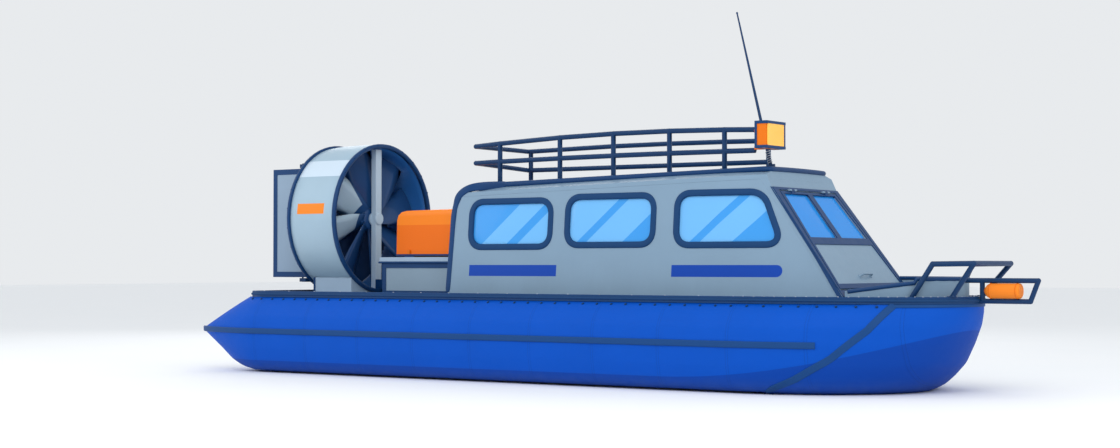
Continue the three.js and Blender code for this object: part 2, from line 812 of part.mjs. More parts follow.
// Rudders between two beams behind the duct
const PIN = 12;
const BEAM = { aft: 1330, fore: DUCT.x0 - RING - 2 * GAP, reach: 640 };
const RUDDERS = [
  { name: 'starboard', y: -RUDDER.spacing },
  { name: 'middle', y: 0 },
  { name: 'port', y: RUDDER.spacing },
];
function rudderBeam(near, far, pinNear, pinFar) {
  const [low, high] = [Math.min(near, far), Math.max(near, far)];
  const bar = box(BEAM.aft, BEAM.fore, -BEAM.reach, BEAM.reach, low, high);
  const arms = RUDDERS.map(({ y }) => box(RUDDER.hinge - 35, BEAM.aft + 5, y - 28, y + 28, low, high));
  const pins = RUDDERS.map(({ y }) => rod([RUDDER.hinge, y, pinNear], [RUDDER.hinge, y, pinFar], PIN, 16));
  return join(bar, arms, pins);
}
piece(
  'rudder_beam_top',
  rudderBeam(RUDDER.top + 12, RUDDER.top + 62, RUDDER.top + 20, RUDDER.top - 40),
  PAINT.navy,
);
piece(
  'rudder_beam_bottom',
  rudderBeam(RUDDER.bottom - 62, RUDDER.bottom - 12, RUDDER.bottom - 20, RUDDER.bottom + 40),
  PAINT.navy,
);
RUDDERS.forEach(({ name, y }) => {
  const half = RUDDER.thick / 2;
  const section = [
    [RUDDER.aft, y - 5],
    [RUDDER.hinge - 60, y - half - 8],
    [RUDDER.fore - 40, y - half - 4],
    [RUDDER.fore, y - 6],
    [RUDDER.fore, y + 6],
    [RUDDER.fore - 40, y + half + 4],
    [RUDDER.hinge - 60, y + half + 8],
    [RUDDER.aft, y + 5],
  ];
  const holes = [
    rod([RUDDER.hinge, y, RUDDER.top + 10], [RUDDER.hinge, y, RUDDER.top - 45], PIN + 1, 16),
    rod([RUDDER.hinge, y, RUDDER.bottom - 10], [RUDDER.hinge, y, RUDDER.bottom + 45], PIN + 1, 16),
  ];
  piece(`rudder_${name}`, cut(prism('z', section, RUDDER.bottom, RUDDER.top), holes), PAINT.grey);
});

// Engine bay: casing on the deck, ledge, shaft tunnel, engine and hood
const bayOuter = box(BAY.aft, BAY.fore, -BAY.half, BAY.half, HULL.deckTop + GAP, BAY.top);
const bayInner = box(BAY.aft + 30, BAY.fore - 30, -BAY.half + 30, BAY.half - 30, 1000, BAY.top + 10);
piece('engine_casing', cut(bayOuter, bayInner), PAINT.grey);
const ledge = cut(
  box(BAY.aft - 40, BAY.fore, -BAY.half - 20, BAY.half + 20, BAY.top + GAP, BAY.ledge),
  box(HOOD.aft + 60, HOOD.fore - 60, -HOOD.half + 50, HOOD.half - 50, 1400, 1600),
);
piece('engine_ledge', ledge, PAINT.lightGrey);

// The drive shaft runs low from the casing to the belt inside the pylon
const TUNNEL = { half: 70, sill: 1100, top: 1230, step: 2300 };
const shaftTunnel = join(
  box(PYLON.fore + GAP, BAY.aft - GAP, -TUNNEL.half, TUNNEL.half, TUNNEL.sill, TUNNEL.top),
  box(TUNNEL.step, BAY.aft - GAP, -TUNNEL.half, TUNNEL.half, HULL.deckTop + GAP, TUNNEL.sill + 5),
);
piece('shaft_tunnel', shaftTunnel, PAINT.navy);
piece('engine_block', box(3000, 3900, -280, 280, HULL.deckTop + GAP, 1850), PAINT.metal);

const hoodSide = (shrink) => [
  [HOOD.aft + shrink, 1400],
  [HOOD.fore - shrink, 1400],
  [HOOD.fore - shrink, HOOD.top + 20 - shrink],
  [HOOD.aft + 150, HOOD.top - 2 - shrink],
  [HOOD.aft + 70 + shrink * 0.4, HOOD.top - 20 - shrink * 0.8],
  [HOOD.aft + 22 + shrink * 0.8, HOOD.top - 62 - shrink * 0.4],
  [HOOD.aft + shrink, HOOD.top - 130],
];
const hoodAcross = (shrink) => rounded(
  [
    [-HOOD.half + shrink, 1300],
    [HOOD.half - shrink, 1300],
    [HOOD.half - 25 - shrink, HOOD.top + 25 - shrink],
    [-HOOD.half + 25 + shrink, HOOD.top + 25 - shrink],
  ],
  90 - shrink,
);
const hoodBody = (shrink) =>
  keep(prism('y', hoodSide(shrink), -600, 600), prism('x', hoodAcross(shrink), 2700, 4300));
const hood = keep(
  cut(hoodBody(0), hoodBody(HOOD.wall)),
  box(2700, 4300, -600, 600, HOOD.bottom, 2400),
);
const HOOD_HINGE = { y: HOOD.half + 14, z: HOOD.bottom + 2, xs: [3050, 3920] };
const hoodKnuckle = (x0, x1) => rod([x0, HOOD_HINGE.y, HOOD_HINGE.z], [x1, HOOD_HINGE.y, HOOD_HINGE.z], 11, 12);
const hoodHinges = HOOD_HINGE.xs.flatMap((x) => [
  hoodKnuckle(x - 30, x + 30),
  box(x - 30, x + 30, HOOD.half - 12, HOOD_HINGE.y, HOOD.bottom + 2, HOOD.bottom + 12),
]);
piece('engine_hood', join(hood, hoodHinges), PAINT.orange);

// Roof rack, antenna mast and lamp
const railZ = (x, { rear, front, arch }) => {
  const t = (x - RACK.aft) / (RACK.fore.starboard - RACK.aft);
  return rear + (front - rear) * t + arch * (1 - (2 * t - 1) ** 2);
};
const rackSide = (side, sign) => {
  const y = sign * RACK.half;
  const posts = RACK.posts[side];
  const stops = [RACK.aft, ...posts.filter((x) => x > RACK.aft + 100 && x < RACK.fore[side] - 100), RACK.fore[side]];
  const rails = [RACK.high, RACK.low].map((level) => pipe(stops.map((x) => [x, y, railZ(x, level[side])]), RACK.radius));
  return [
    ...rails,
    ...posts.map((x) => rod([x, y, roofLine(x) - 60], [x, y, railZ(x, RACK.high[side])], RACK.radius)),
  ];
};
const rackEnds = [RACK.high, RACK.low].map((level) =>
  rod([RACK.aft, -RACK.half, level.starboard.rear], [RACK.aft, RACK.half, level.port.rear], RACK.radius),
);
const rackCorners = [RACK.high, RACK.low].flatMap((level) => [
  ballAt([RACK.aft, -RACK.half, level.starboard.rear], RACK.radius),
  ballAt([RACK.aft, RACK.half, level.port.rear], RACK.radius),
]);
const rackFloor = RACK.bars.map((x) =>
  box(
    x - RACK.bar.half,
    x + RACK.bar.half,
    -RACK.half,
    RACK.half,
    roofLine(x) + RACK.bar.low,
    roofLine(x) + RACK.bar.high,
  ),
);
const rackBases = ['starboard', 'port'].map((side, k) => {
  const y = (2 * k - 1) * RACK.half;
  const [aft, fore] = [RACK.posts[side][0], RACK.posts[side].at(-1)];
  const corners = [
    [aft, roofLine(aft) + RACK.base.low],
    [fore, roofLine(fore) + RACK.base.low],
    [fore, roofLine(fore) + RACK.base.high],
    [aft, roofLine(aft) + RACK.base.high],
  ];
  return prism('y', corners, y - RACK.base.half, y + RACK.base.half);
});
const rackTrim = cabinBody(-GAP);
const rack = cut(
  join(rackSide('starboard', -1), rackSide('port', 1), rackEnds, rackCorners, rackFloor, rackBases),
  rackTrim,
);
piece('roof_rack', rack, PAINT.navy);

const MAST = { foot: [8495, -400, 2480], tip: [8020, -400, 4412], radius: 22, tipRadius: 9 };
const mast = cut(
  join(
    rod(MAST.foot, MAST.tip, MAST.radius, 10, MAST.tipRadius),
    rod([MAST.foot[0] - 4, MAST.foot[1], 2480], [MAST.foot[0] - 16, MAST.foot[1], 2600], 42, 12),
  ),
  rackTrim,
);
piece('antenna_mast', mast, PAINT.navy);
const LAMP = { aft: 8532, fore: 8672, y0: -890, y1: -460, z0: 2766, z1: 3072 };
const lampOutline = rounded([[LAMP.y0, LAMP.z0], [LAMP.y1, LAMP.z0], [LAMP.y1, LAMP.z1], [LAMP.y0, LAMP.z1]], 22, 2);
const lampBracket = [LAMP.z0, 2960].map((z) =>
  box(
    RACK.fore.starboard + GAP,
    LAMP.aft + 5,
    -RACK.half - 30,
    -RACK.half + 30,
    z,
    z + 40,
  ),
);
piece('lamp_housing', join(prism('x', lampOutline, LAMP.aft, LAMP.fore), lampBracket), PAINT.orange);
const lensOutline = inset([[LAMP.y0, LAMP.z0], [LAMP.y1, LAMP.z0], [LAMP.y1, LAMP.z1], [LAMP.y0, LAMP.z1]], 24);
piece('lamp_lens', prism('x', rounded(lensOutline, 22, 2), LAMP.fore + GAP, LAMP.fore + 18), PAINT.amber);

// Cabin inside: helm, seat and two long benches
const HELM = { y: -370, wheelX: 8420, wheelZ: 1255, tilt: 65, radius: 180 };
const consoleSide = [
  [8560, PLATFORM.floor + GAP],
  [8960, PLATFORM.floor + GAP],
  [8960, 1240],
  [8760, 1330],
  [8560, 1180],
];
const columnEnd = new THREE.Vector3(HELM.wheelX, HELM.y, HELM.wheelZ);
const helmAxis = new THREE.Vector3(
  -Math.sin(THREE.MathUtils.degToRad(HELM.tilt)),
  0,
  Math.cos(THREE.MathUtils.degToRad(HELM.tilt)),
);
const alongHelm = (distance) => columnEnd.clone().addScaledVector(helmAxis, distance).toArray();
piece(
  'helm_console',
  join(
    prism('y', consoleSide, HELM.y - 280, HELM.y + 280),
    rod(alongHelm(-260), alongHelm(-30), 32, 12),
  ),
  PAINT.cloth,
);
function helmWheel() {
  const ring = new THREE.TorusGeometry(HELM.radius, 14, 8, 32);
  const turn = new THREE.Quaternion().setFromUnitVectors(new THREE.Vector3(0, 0, 1), helmAxis);
  ring.applyQuaternion(turn).translate(...columnEnd.toArray());
  const spokes = [90, 210, 330].map((degrees) => {
    const a = THREE.MathUtils.degToRad(degrees);
    const end = new THREE.Vector3(Math.cos(a), Math.sin(a), 0).multiplyScalar(HELM.radius).applyQuaternion(turn);
    return rod(columnEnd.toArray(), end.add(columnEnd).toArray(), 11, 8);
  });
  return join(toSolid(ring), spokes, rod(alongHelm(-25), alongHelm(12), 36, 16));
}
piece('helm_wheel', helmWheel(), PAINT.rubber);

const seatProfile = [
  [7830, PLATFORM.floor + GAP],
  [8120, PLATFORM.floor + GAP],
  [8120, 780],
  [8250, 800],
  [8260, 900],
  [7900, 880],
  [7800, 1500],
  [7690, 1490],
  [7760, 800],
  [7830, 780],
];
piece('helm_seat', prism('y', seatProfile, HELM.y - 240, HELM.y + 240), PAINT.cloth);
const benchProfile = [
  [-WELL.half + GAP + 2, PLATFORM.floor + GAP],
  [-300, PLATFORM.floor + GAP],
  [-300, 760],
  [-250, 780],
  [-250, 880],
  [-590, 860],
  [-640, 1430],
  [-WELL.half + 2, 1430],
];
const starboardBench = prism('x', benchProfile, 4500, 7350);
piece('bench_starboard', starboardBench, PAINT.cloth);
const portBench = prism('x', benchProfile, 4500, 8150);
piece('bench_port', mirrored(portBench), PAINT.cloth);

// Origin at the middle of the length, on the ground
craft.position.x = -(LOOP.tipHigh + LOOP.radius * BALL) / 2;
craft.updateMatrixWorld(true);
export default craft;
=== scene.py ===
"""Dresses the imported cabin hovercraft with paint, glass, seals, fittings, cushions, light and camera.

Lengths are in metres. Stations along the hull are measured from the tips of the stern cones, as in
the part's own source, and at() turns a station into the frame that the part was packed in.
"""

import logging
import math
from collections.abc import Callable, Sequence
from dataclasses import dataclass, field
from enum import Enum

import bmesh
import bpy
from mathutils import Matrix, Vector
from mathutils.bvhtree import BVHTree


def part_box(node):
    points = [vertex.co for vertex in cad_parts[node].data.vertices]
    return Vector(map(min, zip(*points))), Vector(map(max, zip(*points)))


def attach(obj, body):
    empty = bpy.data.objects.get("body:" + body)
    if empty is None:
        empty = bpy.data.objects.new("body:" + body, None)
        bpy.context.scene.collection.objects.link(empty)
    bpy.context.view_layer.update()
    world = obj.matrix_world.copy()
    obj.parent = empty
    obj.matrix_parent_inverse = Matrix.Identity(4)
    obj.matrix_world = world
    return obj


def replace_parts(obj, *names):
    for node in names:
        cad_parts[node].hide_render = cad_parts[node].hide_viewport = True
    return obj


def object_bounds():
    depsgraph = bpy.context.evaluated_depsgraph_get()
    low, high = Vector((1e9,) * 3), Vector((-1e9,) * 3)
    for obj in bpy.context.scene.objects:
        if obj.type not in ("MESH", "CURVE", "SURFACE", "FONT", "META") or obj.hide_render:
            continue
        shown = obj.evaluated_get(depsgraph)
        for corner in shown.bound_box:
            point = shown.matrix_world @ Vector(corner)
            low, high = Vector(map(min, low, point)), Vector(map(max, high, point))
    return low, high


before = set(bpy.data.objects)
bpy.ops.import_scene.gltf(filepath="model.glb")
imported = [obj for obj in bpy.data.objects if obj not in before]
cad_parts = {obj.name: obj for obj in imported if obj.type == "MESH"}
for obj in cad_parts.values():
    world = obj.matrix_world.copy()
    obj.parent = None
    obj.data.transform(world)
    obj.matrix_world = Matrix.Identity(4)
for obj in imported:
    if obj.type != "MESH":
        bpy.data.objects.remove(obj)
CAD_LOW, CAD_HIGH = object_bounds()
NODES: dict[str, bpy.types.Object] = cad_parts
STERN = CAD_LOW.x
log = logging.getLogger("hovercraft")

Pair = tuple[float, float]
Triple = tuple[float, float, float]
Colour = Triple
Rows = Sequence[Sequence[Vector]]
SIDES = {"starboard": -1, "port": 1}
AHEAD, TO_PORT, UP = Vector((1, 0, 0)), Vector((0, 1, 0)), Vector((0, 0, 1))
# a full turn, for sines in the shaders
TURN = 6.2832


class Body(Enum):
    """The bodies that a piece can ride on."""

    HULL = "hull"
    FAN = "fan"
    RUDDER_MIDDLE = "air_rudder_middle"
    RUDDER_STARBOARD = "air_rudder_starboard"
    RUDDER_PORT = "air_rudder_port"
    HELM = "helm"
    HATCH = "hatch"
    HOOD = "hood"


def at(x: float, y: float, z: float) -> Vector:
    """Puts a station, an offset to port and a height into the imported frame."""
    return Vector((x + STERN, y, z))


def tone(code: str) -> Colour:
    """Turns a paint chip's hex code into a linear colour."""
    channels = [int(code[i : i + 2], 16) / 255 for i in (0, 2, 4)]
    return tuple(c / 12.92 if c <= 0.04045 else ((c + 0.055) / 1.055) ** 2.4 for c in channels)


def spread(low: float, high: float, count: int) -> list[float]:
    """Gives evenly spaced values from low to high, both ends included."""
    return [low + (high - low) * k / (count - 1) for k in range(count)]


def slide(ends: Pair, share: float) -> float:
    """Gives the value at a share of the way between two ends."""
    return ends[0] + (ends[1] - ends[0]) * share


def read(rows: Sequence[Pair], place: float) -> float:
    """Reads a table between its rows.

    Args:
        rows: Places and their values, from the lowest place up.
        place: Where it is read.

    Returns:
        The value there, or that of the first or last row outside them.
    """
    for (start, first), (end, last) in zip(rows, rows[1:]):
        if place <= end:
            return slide((first, last), max(0.0, (place - start) / (end - start)))
    return rows[-1][1]


def spokes(count: int, start: float = 0.0) -> list[float]:
    """Gives the angles of evenly spaced spokes."""
    return [start + 2 * math.pi * k / count for k in range(count)]


def bordered(low: float, high: float, border: float) -> list[float]:
    """Gives the four lines of a frame whose border has one width."""
    return [low, low + border, high - border, high]


def circle(middle: Vector, across: Vector, up: Vector, radius: float, sides: int) -> list[Vector]:
    """Gives points round a circle that lies along two directions."""
    return [middle + (across * math.cos(t) + up * math.sin(t)) * radius for t in spokes(sides)]


def to_side(shape: "Vector | Sequence", sign: int) -> "Vector | list":
    """Puts points made on the starboard side, in rows of any depth, on the side of a sign."""
    return shape * Vector((1, -sign, 1)) if isinstance(shape, Vector) else [to_side(s, sign) for s in shape]


def add_object(name: str, data: bpy.types.ID) -> bpy.types.Object:
    """Puts new data into the scene as an object.

    Args:
        name: The object's name.
        data: Its mesh, lamp or camera.

    Returns:
        The object.
    """
    thing = bpy.data.objects.new(name, data)
    bpy.context.scene.collection.objects.link(thing)
    return thing


def operator(operation: str, swapped: bool = False) -> Callable[..., "Shade"]:
    """Makes an operator for shades.

    Args:
        operation: The Math node's operation.
        swapped: Whether the shade comes last.

    Returns:
        The method.
    """

    def method(shade: "Shade", *others: "Shade | float") -> "Shade":
        """Adds the Math node."""
        return shade.tree.math(operation, *((*others, shade) if swapped else (shade, *others)))

    return method


class Shade:
    """A socket of a material, whose operators add Math nodes."""

    def __init__(self, tree: "PaintTree", socket: bpy.types.NodeSocket) -> None:
        """Keeps the tree and the socket."""
        self.tree = tree
        self.socket = socket

    __add__ = __radd__ = operator("ADD")
    __sub__ = operator("SUBTRACT")
    __rsub__ = operator("SUBTRACT", swapped=True)
    __mul__ = __rmul__ = operator("MULTIPLY")
    __truediv__ = operator("DIVIDE")
    __pow__ = operator("POWER")
    __abs__ = operator("ABSOLUTE")
    # 1 where this is the greater, or else 0
    __gt__ = operator("GREATER_THAN")
    sine = operator("SINE")
    # the greater of the two
    over = operator("MAXIMUM")
    # what follows the point
    cycle = operator("FRACT")


class PaintTree:
    """The node tree of one material."""

    def __init__(self, name: str) -> None:
        """Starts a material with a shader and its output.

        Args:
            name: What the material is called.
        """
        self.material = bpy.data.materials.new(name)
        self.material.use_nodes = True
        self.nodes = self.material.node_tree.nodes
        self.nodes.clear()
        self.shader = self.node("ShaderNodeBsdfPrincipled")
        self.node("ShaderNodeOutputMaterial", sockets={"Surface": self.out(self.shader)})

    def node(
        self,
        kind: str,
        settings: dict[str, object] | None = None,
        sockets: dict[str | int, object] | None = None,
    ) -> bpy.types.Node:
        """Adds a node.

        Args:
            kind: Blender's name for the node's type.
            settings: Its own settings, with a ramp's stops under "stops".
            sockets: Values or links for its input sockets.

        Returns:
            The node.
        """
        made = self.nodes.new(kind)
        for key, value in (settings or {}).items():
            if key == "stops":
                self.set_stops(made.color_ramp, value)
            else:
                setattr(made, key, value)
        for key, value in (sockets or {}).items():
            self.feed(made.inputs[key], value)
        return made

    def set_stops(self, ramp: bpy.types.ColorRamp, stops: Sequence[tuple[float, Colour]]) -> None:
        """Gives a ramp its stops.

        Args:
            ramp: The ramp of a new node, which has two stops.
            stops: The place and colour of each stop, two at least.
        """
        ramp.interpolation = "CONSTANT"
        for index, (place, colour) in enumerate(stops):
            stop = ramp.elements[index] if index < 2 else ramp.elements.new(place)
            stop.position = place
            stop.color = (*colour, 1.0)

    def feed(self, socket: bpy.types.NodeSocket, value: object) -> None:
        """Links a shade to a socket, or sets the socket's value.

        Args:
            socket: An input socket.
            value: A Shade, a number, a colour or a vector.
        """
        if isinstance(value, Shade):
            self.material.node_tree.links.new(value.socket, socket)
        elif socket.type == "RGBA":
            socket.default_value = (*value, 1.0)
        else:
            socket.default_value = value

    def shade(self, values: dict[str, object]) -> None:
        """Sets or links the shader's own sockets."""
        for key, value in values.items():
            self.feed(self.shader.inputs[key], value)

    def out(self, node: bpy.types.Node, key: str | int = 0) -> Shade:
        """Wraps one output of a node."""
        return Shade(self, node.outputs[key])

    def math(self, operation: str, *values: "Shade | float") -> Shade:
        """Adds a Math node and gives its result."""
        sockets = dict(enumerate(values))
        return self.out(self.node("ShaderNodeMath", {"operation": operation}, sockets))

    def place(self) -> tuple[Shade, Shade, Shade]:
        """Gives the place of a point on the resting piece.

        Returns:
            Its station, its offset to port and its height.
        """
        point = self.out(self.node("ShaderNodeTexCoord"), "Object")
        parts = self.node("ShaderNodeSeparateXYZ", sockets={0: point})
        return self.out(parts, 0) - STERN, self.out(parts, 1), self.out(parts, 2)

    def sideways(self) -> Shade:
        """Gives how far the surface faces to port, from -1 to 1."""
        normal = self.out(self.node("ShaderNodeTexCoord"), "Normal")
        return self.out(self.node("ShaderNodeSeparateXYZ", sockets={0: normal}), 1)

    def noise(self, scale: float, detail: float = 2.0, stretch: Triple = (1.0, 1.0, 1.0)) -> Shade:
        """Gives a cloudy value between 0 and 1.

        Args:
            scale: Clouds per metre.
            detail: How many finer layers are added.
            stretch: Factors on the coordinates, so that below 1 draws the clouds out.

        Returns:
            The value.
        """
        point = self.out(self.node("ShaderNodeTexCoord"), "Object")
        mapped = self.node("ShaderNodeMapping", sockets={"Vector": point, "Scale": stretch})
        sockets = {"Vector": self.out(mapped), "Scale": scale, "Detail": detail}
        return self.out(self.node("ShaderNodeTexNoise", sockets=sockets))

    def step(self, value: Shade, low: float, high: float) -> Shade:
        """Rises smoothly from 0 to 1 as a value goes from low to high."""
        sockets = {"Value": value, "From Min": low, "From Max": high}
        return self.out(self.node("ShaderNodeMapRange", {"interpolation_type": "SMOOTHSTEP"}, sockets))

    def past(self, value: Shade, line: float, soft: float = 0.002) -> Shade:
        """Rises from 0 to 1 within a soft edge where a value passes a line."""
        return self.step(value, line - soft, line + soft)

    def band(self, value: Shade, low: float, high: float, soft: float = 0.002) -> Shade:
        """Is 1 between low and high and falls to 0 within a soft edge."""
        return self.past(value, low, soft) * (1 - self.past(value, high, soft))

    def mix(self, factor: "Shade | float", first: "Shade | Colour", second: "Shade | Colour") -> Shade:
        """Mixes two colours by the share of the second."""
        sockets = {0: factor, 6: first, 7: second}
        return self.out(self.node("ShaderNodeMix", {"data_type": "RGBA"}, sockets), 2)

    def bump(self, height: Shade, depth: float) -> Shade:
        """Turns a height into a normal, with the depth in metres at which 1 stands above 0."""
        sockets = {"Height": height, "Distance": depth, "Strength": 1.0}
        return self.out(self.node("ShaderNodeBump", sockets=sockets))


Place = tuple[Shade, Shade, Shade]


@dataclass(frozen=True)
class Finish:
    """A coat of paint or a moulded surface, with mottling, wear and a fine grain."""

    name: str
    slot: str
    colour: Colour
    roughness: float = 0.45
    metallic: float = 0.0
    coat: float = 0.0
    gloss: float = 0.2
    mottle: float = 0.06
    grain: float = 700.0
    relief: float = 0.0002
    # clouds and worn spots to the metre, and how far the roughness wanders
    clouds: float = 1.9
    spots: float = 11.0
    wander: float = 0.16

    def material(self) -> bpy.types.Material:
        """Gives the material, which is made the first time."""
        return bpy.data.materials.get(self.name) or self.mixed()

    def mixed(self) -> bpy.types.Material:
        """Makes the material.

        Returns:
            The new material.
        """
        tree = PaintTree(self.name)
        place = tree.place()
        cloud = tree.noise(self.clouds, 4.0)
        dark = tuple(c * (1 - self.mottle) for c in self.colour)
        light = tuple(min(1.0, c * (1 + self.mottle)) for c in self.colour)
        colour = self.pattern(tree, place, tree.mix(cloud, dark, light))
        rough = self.roughness + (tree.noise(self.spots, 3.0) - 0.5) * self.wander
        height = self.surface(tree, place, tree.noise(self.grain, 1.0))
        tree.shade({
            "Base Color": colour, "Roughness": rough, "Metallic": self.metallic, "Coat Weight": self.coat,
            "Specular IOR Level": self.gloss, "Normal": tree.bump(height, self.relief),
        })
        self.finish_off(tree)
        return tree.material

    def pattern(self, tree: PaintTree, place: Place, colour: Shade) -> Shade:
        """Gives the colour over the surface, here as it comes."""
        return colour

    def surface(self, tree: PaintTree, place: Place, grain: Shade) -> Shade:
        """Gives the height over the surface, here the grain alone."""
        return grain

    def finish_off(self, tree: PaintTree) -> None:
        """Changes the shader in some other way, here not at all."""


@dataclass(frozen=True)
class SkirtFabric(Finish):
    """Coated skirt fabric with painted shade where it tucks under, sewn seams and a fine weave."""

    # painted shade: a darker blue below a line that rises towards the bow, where the cloth turns under
    tuck_shade: Colour = tone("0342a3")
    line: float = 0.165
    rise_from: float = 7.6
    rise: float = 0.0535
    pitch: float = 0.9
    threads: float = 260.0
    # stitches to the metre, where they run beside a seam, and half the doubled cloth's width
    stitches: float = 70.0
    sewn: Pair = (0.012, 0.017)
    doubled: Pair = (0.020, 0.026)
    thread: Colour = tone("0a2f66")
    salt: Colour = tone("6f8fb5")
    salt_line: Pair = (0.02, 0.22)

    def seam(self, place: Place) -> Shade:
        """Gives the distance to the nearest sewn seam, in metres."""
        return abs((place[0] / self.pitch).cycle() - 0.5) * self.pitch

    def pattern(self, tree: PaintTree, place: Place, colour: Shade) -> Shade:
        """Paints shade where the cloth tucks under, and darkens the seams and the hem.

        Args:
            tree: The material's tree.
            place: Station, offset and height.
            colour: The blue with its mottling.

        Returns:
            The colour over the surface.
        """
        x, _, z = place
        forward = (x - self.rise_from).over(0.0)
        edge = z - self.line - forward * forward * self.rise
        # painted shade below the line
        base = tree.mix(1 - tree.past(edge, 0.0, 0.004), colour, self.tuck_shade)
        stitch = (z * self.stitches).cycle() > 0.35
        sewn = tree.band(self.seam(place), *self.sewn, 0.0015) * stitch
        base = tree.mix(sewn * 0.5, base, self.thread)
        salt = (1 - tree.step(z, *self.salt_line)) * tree.noise(9.0, 5.0) * 0.16
        return tree.mix(salt, base, self.salt)

    def surface(self, tree: PaintTree, place: Place, grain: Shade) -> Shade:
        """Adds the weave and the doubled cloth at the seams to the grain.

        Args:
            tree: The material's tree.
            place: Station, offset and height.
            grain: The fine grain.

        Returns:
            The height over the surface.
        """
        x, _, z = place
        weave = (x * self.threads * TURN).sine() * (z * self.threads * TURN).sine()
        doubled = 1 - tree.step(self.seam(place), *self.doubled)
        return grain * 0.3 + weave * 0.25 + doubled * 2.0


@dataclass(frozen=True)
class StripedPaint(Finish):
    """Cabin paint with the two blue stripes along the side, bare between them."""

    stripe: Colour = tone("0040a4")
    low: float = 1.291
    high: float = 1.429
    aft_stripe: Pair = (4.525, 5.859)
    fore_stripe: Pair = (7.494, 8.900)
    rain: Colour = tone("74899d")

    def pattern(self, tree: PaintTree, place: Place, colour: Shade) -> Shade:
        """Paints the stripes and the faint runs of rain below the windows.

        Args:
            tree: The material's tree.
            place: Station, offset and height.
            colour: The grey with its mottling.

        Returns:
            The colour over the surface.
        """
        x, y, z = place
        half = (self.high - self.low) / 2
        rain = tree.noise(5.0, 4.0, (3.0, 3.0, 0.25)) * (1 - tree.step(z, 1.2, 1.75)) * 0.22
        colour = tree.mix(rain, colour, self.rain)
        aft = tree.band(x, *self.aft_stripe) * tree.band(z, self.low, self.high)
        nose = (x - (self.fore_stripe[1] - half)).over(0.0)
        level = z - (self.low + half)
        reach = (nose * nose + level * level) ** 0.5
        fore = (1 - tree.past(reach, half)) * tree.past(x, self.fore_stripe[0])
        outside = (tree.sideways() * y) > 0.0
        return tree.mix((aft + fore) * outside, colour, self.stripe)


@dataclass(frozen=True)
class DuctPaint(Finish):
    """Duct paint: light outside with a painted highlight band and an orange mark, and navy inside as
    painted shade.
    """

    axis: float = 2.06
    wall: float = 0.985
    # navy painted shade inside the bore
    inside: Colour = tone("2b6cb4")
    # lighter tone of the painted highlight band
    lit_tone: Colour = tone("d0e0ef")
    orange: Colour = tone("f18314")
    # heights of the painted highlight band
    highlight_band: Pair = (2.62, 2.84)
    mark_length: Pair = (1.576, 2.062)
    mark_height: Pair = (2.112, 2.252)

    def pattern(self, tree: PaintTree, place: Place, colour: Shade) -> Shade:
        """Paints the highlight band, the mark and the shade inside.

        Args:
            tree: The material's tree.
            place: Station, offset and height.
            colour: The grey with its mottling.

        Returns:
            The colour over the surface.
        """
        x, y, z = place
        radius = (y * y + (z - self.axis) ** 2.0) ** 0.5
        # painted highlight band across the outside
        colour = tree.mix(tree.band(z, *self.highlight_band) * 0.85, colour, self.lit_tone)
        mark = tree.band(x, *self.mark_length) * tree.band(z, *self.mark_height)
        colour = tree.mix(mark, colour, self.orange)
        # painted shade: navy over the inside of the bore
        return tree.mix(1 - tree.past(radius, self.wall), colour, self.inside)


@dataclass(frozen=True)
class TwoTonePaint(Finish):
    """Paint with another tone on one side of a level line, as on the hatch's head and the hood's foot."""

    other: Colour = tone("0f3b6b")
    line: float = 2.235
    other_below: bool = False

    def pattern(self, tree: PaintTree, place: Place, colour: Shade) -> Shade:
        """Paints the other tone."""
        above = tree.past(place[2], self.line)
        return tree.mix(1 - above if self.other_below else above, colour, self.other)


@dataclass(frozen=True)
class TreadPaint(Finish):
    """Non-slip deck paint, with grit and worn walkways."""

    grit: float = 240.0
    worn: Colour = tone("a9bccb")

    def pattern(self, tree: PaintTree, place: Place, colour: Shade) -> Shade:
        """Wears the paint lighter in patches."""
        share = tree.step(tree.noise(2.3, 5.0), 0.52, 0.72) * 0.3
        return tree.mix(share, colour, self.worn)

    def surface(self, tree: PaintTree, place: Place, grain: Shade) -> Shade:
        """Adds the grit to the grain."""
        return tree.step(tree.noise(self.grit, 0.0), 0.45, 0.65) + grain * 0.2


@dataclass(frozen=True)
class RivetedPaint(Finish):
    """Painted sheet with rows of flush rivets."""

    spacing: float = 0.11
    head: Pair = (0.003, 0.006)

    def surface(self, tree: PaintTree, place: Place, grain: Shade) -> Shade:
        """Adds shallow dimples on a square grid to the grain.

        Args:
            tree: The material's tree.
            place: Station, offset and height.
            grain: The fine grain.

        Returns:
            The height over the surface.
        """
        x, y, z = place
        across = (((x + y) / self.spacing).cycle() - 0.5) * self.spacing
        up = ((z / self.spacing).cycle() - 0.5) * self.spacing
        reach = (across * across + up * up) ** 0.5
        return grain * 0.15 + tree.step(reach, *self.head)


@dataclass(frozen=True)
class CushionCloth(Finish):
    """Woven seat cloth with a basket weave."""

    threads: float = 330.0
    flecks: float = 420.0
    light: Colour = tone("5b7aa0")

    def pattern(self, tree: PaintTree, place: Place, colour: Shade) -> Shade:
        """Flecks the cloth with lighter threads."""
        fleck = tree.step(tree.noise(self.flecks, 1.0), 0.58, 0.7) * 0.35
        return tree.mix(fleck, colour, self.light)

    def surface(self, tree: PaintTree, place: Place, grain: Shade) -> Shade:
        """Adds the weave to the grain."""
        rate = self.threads * TURN
        return (place[0] * rate).sine() * ((place[1] + place[2]) * rate).sine() * 0.5 + grain * 0.5


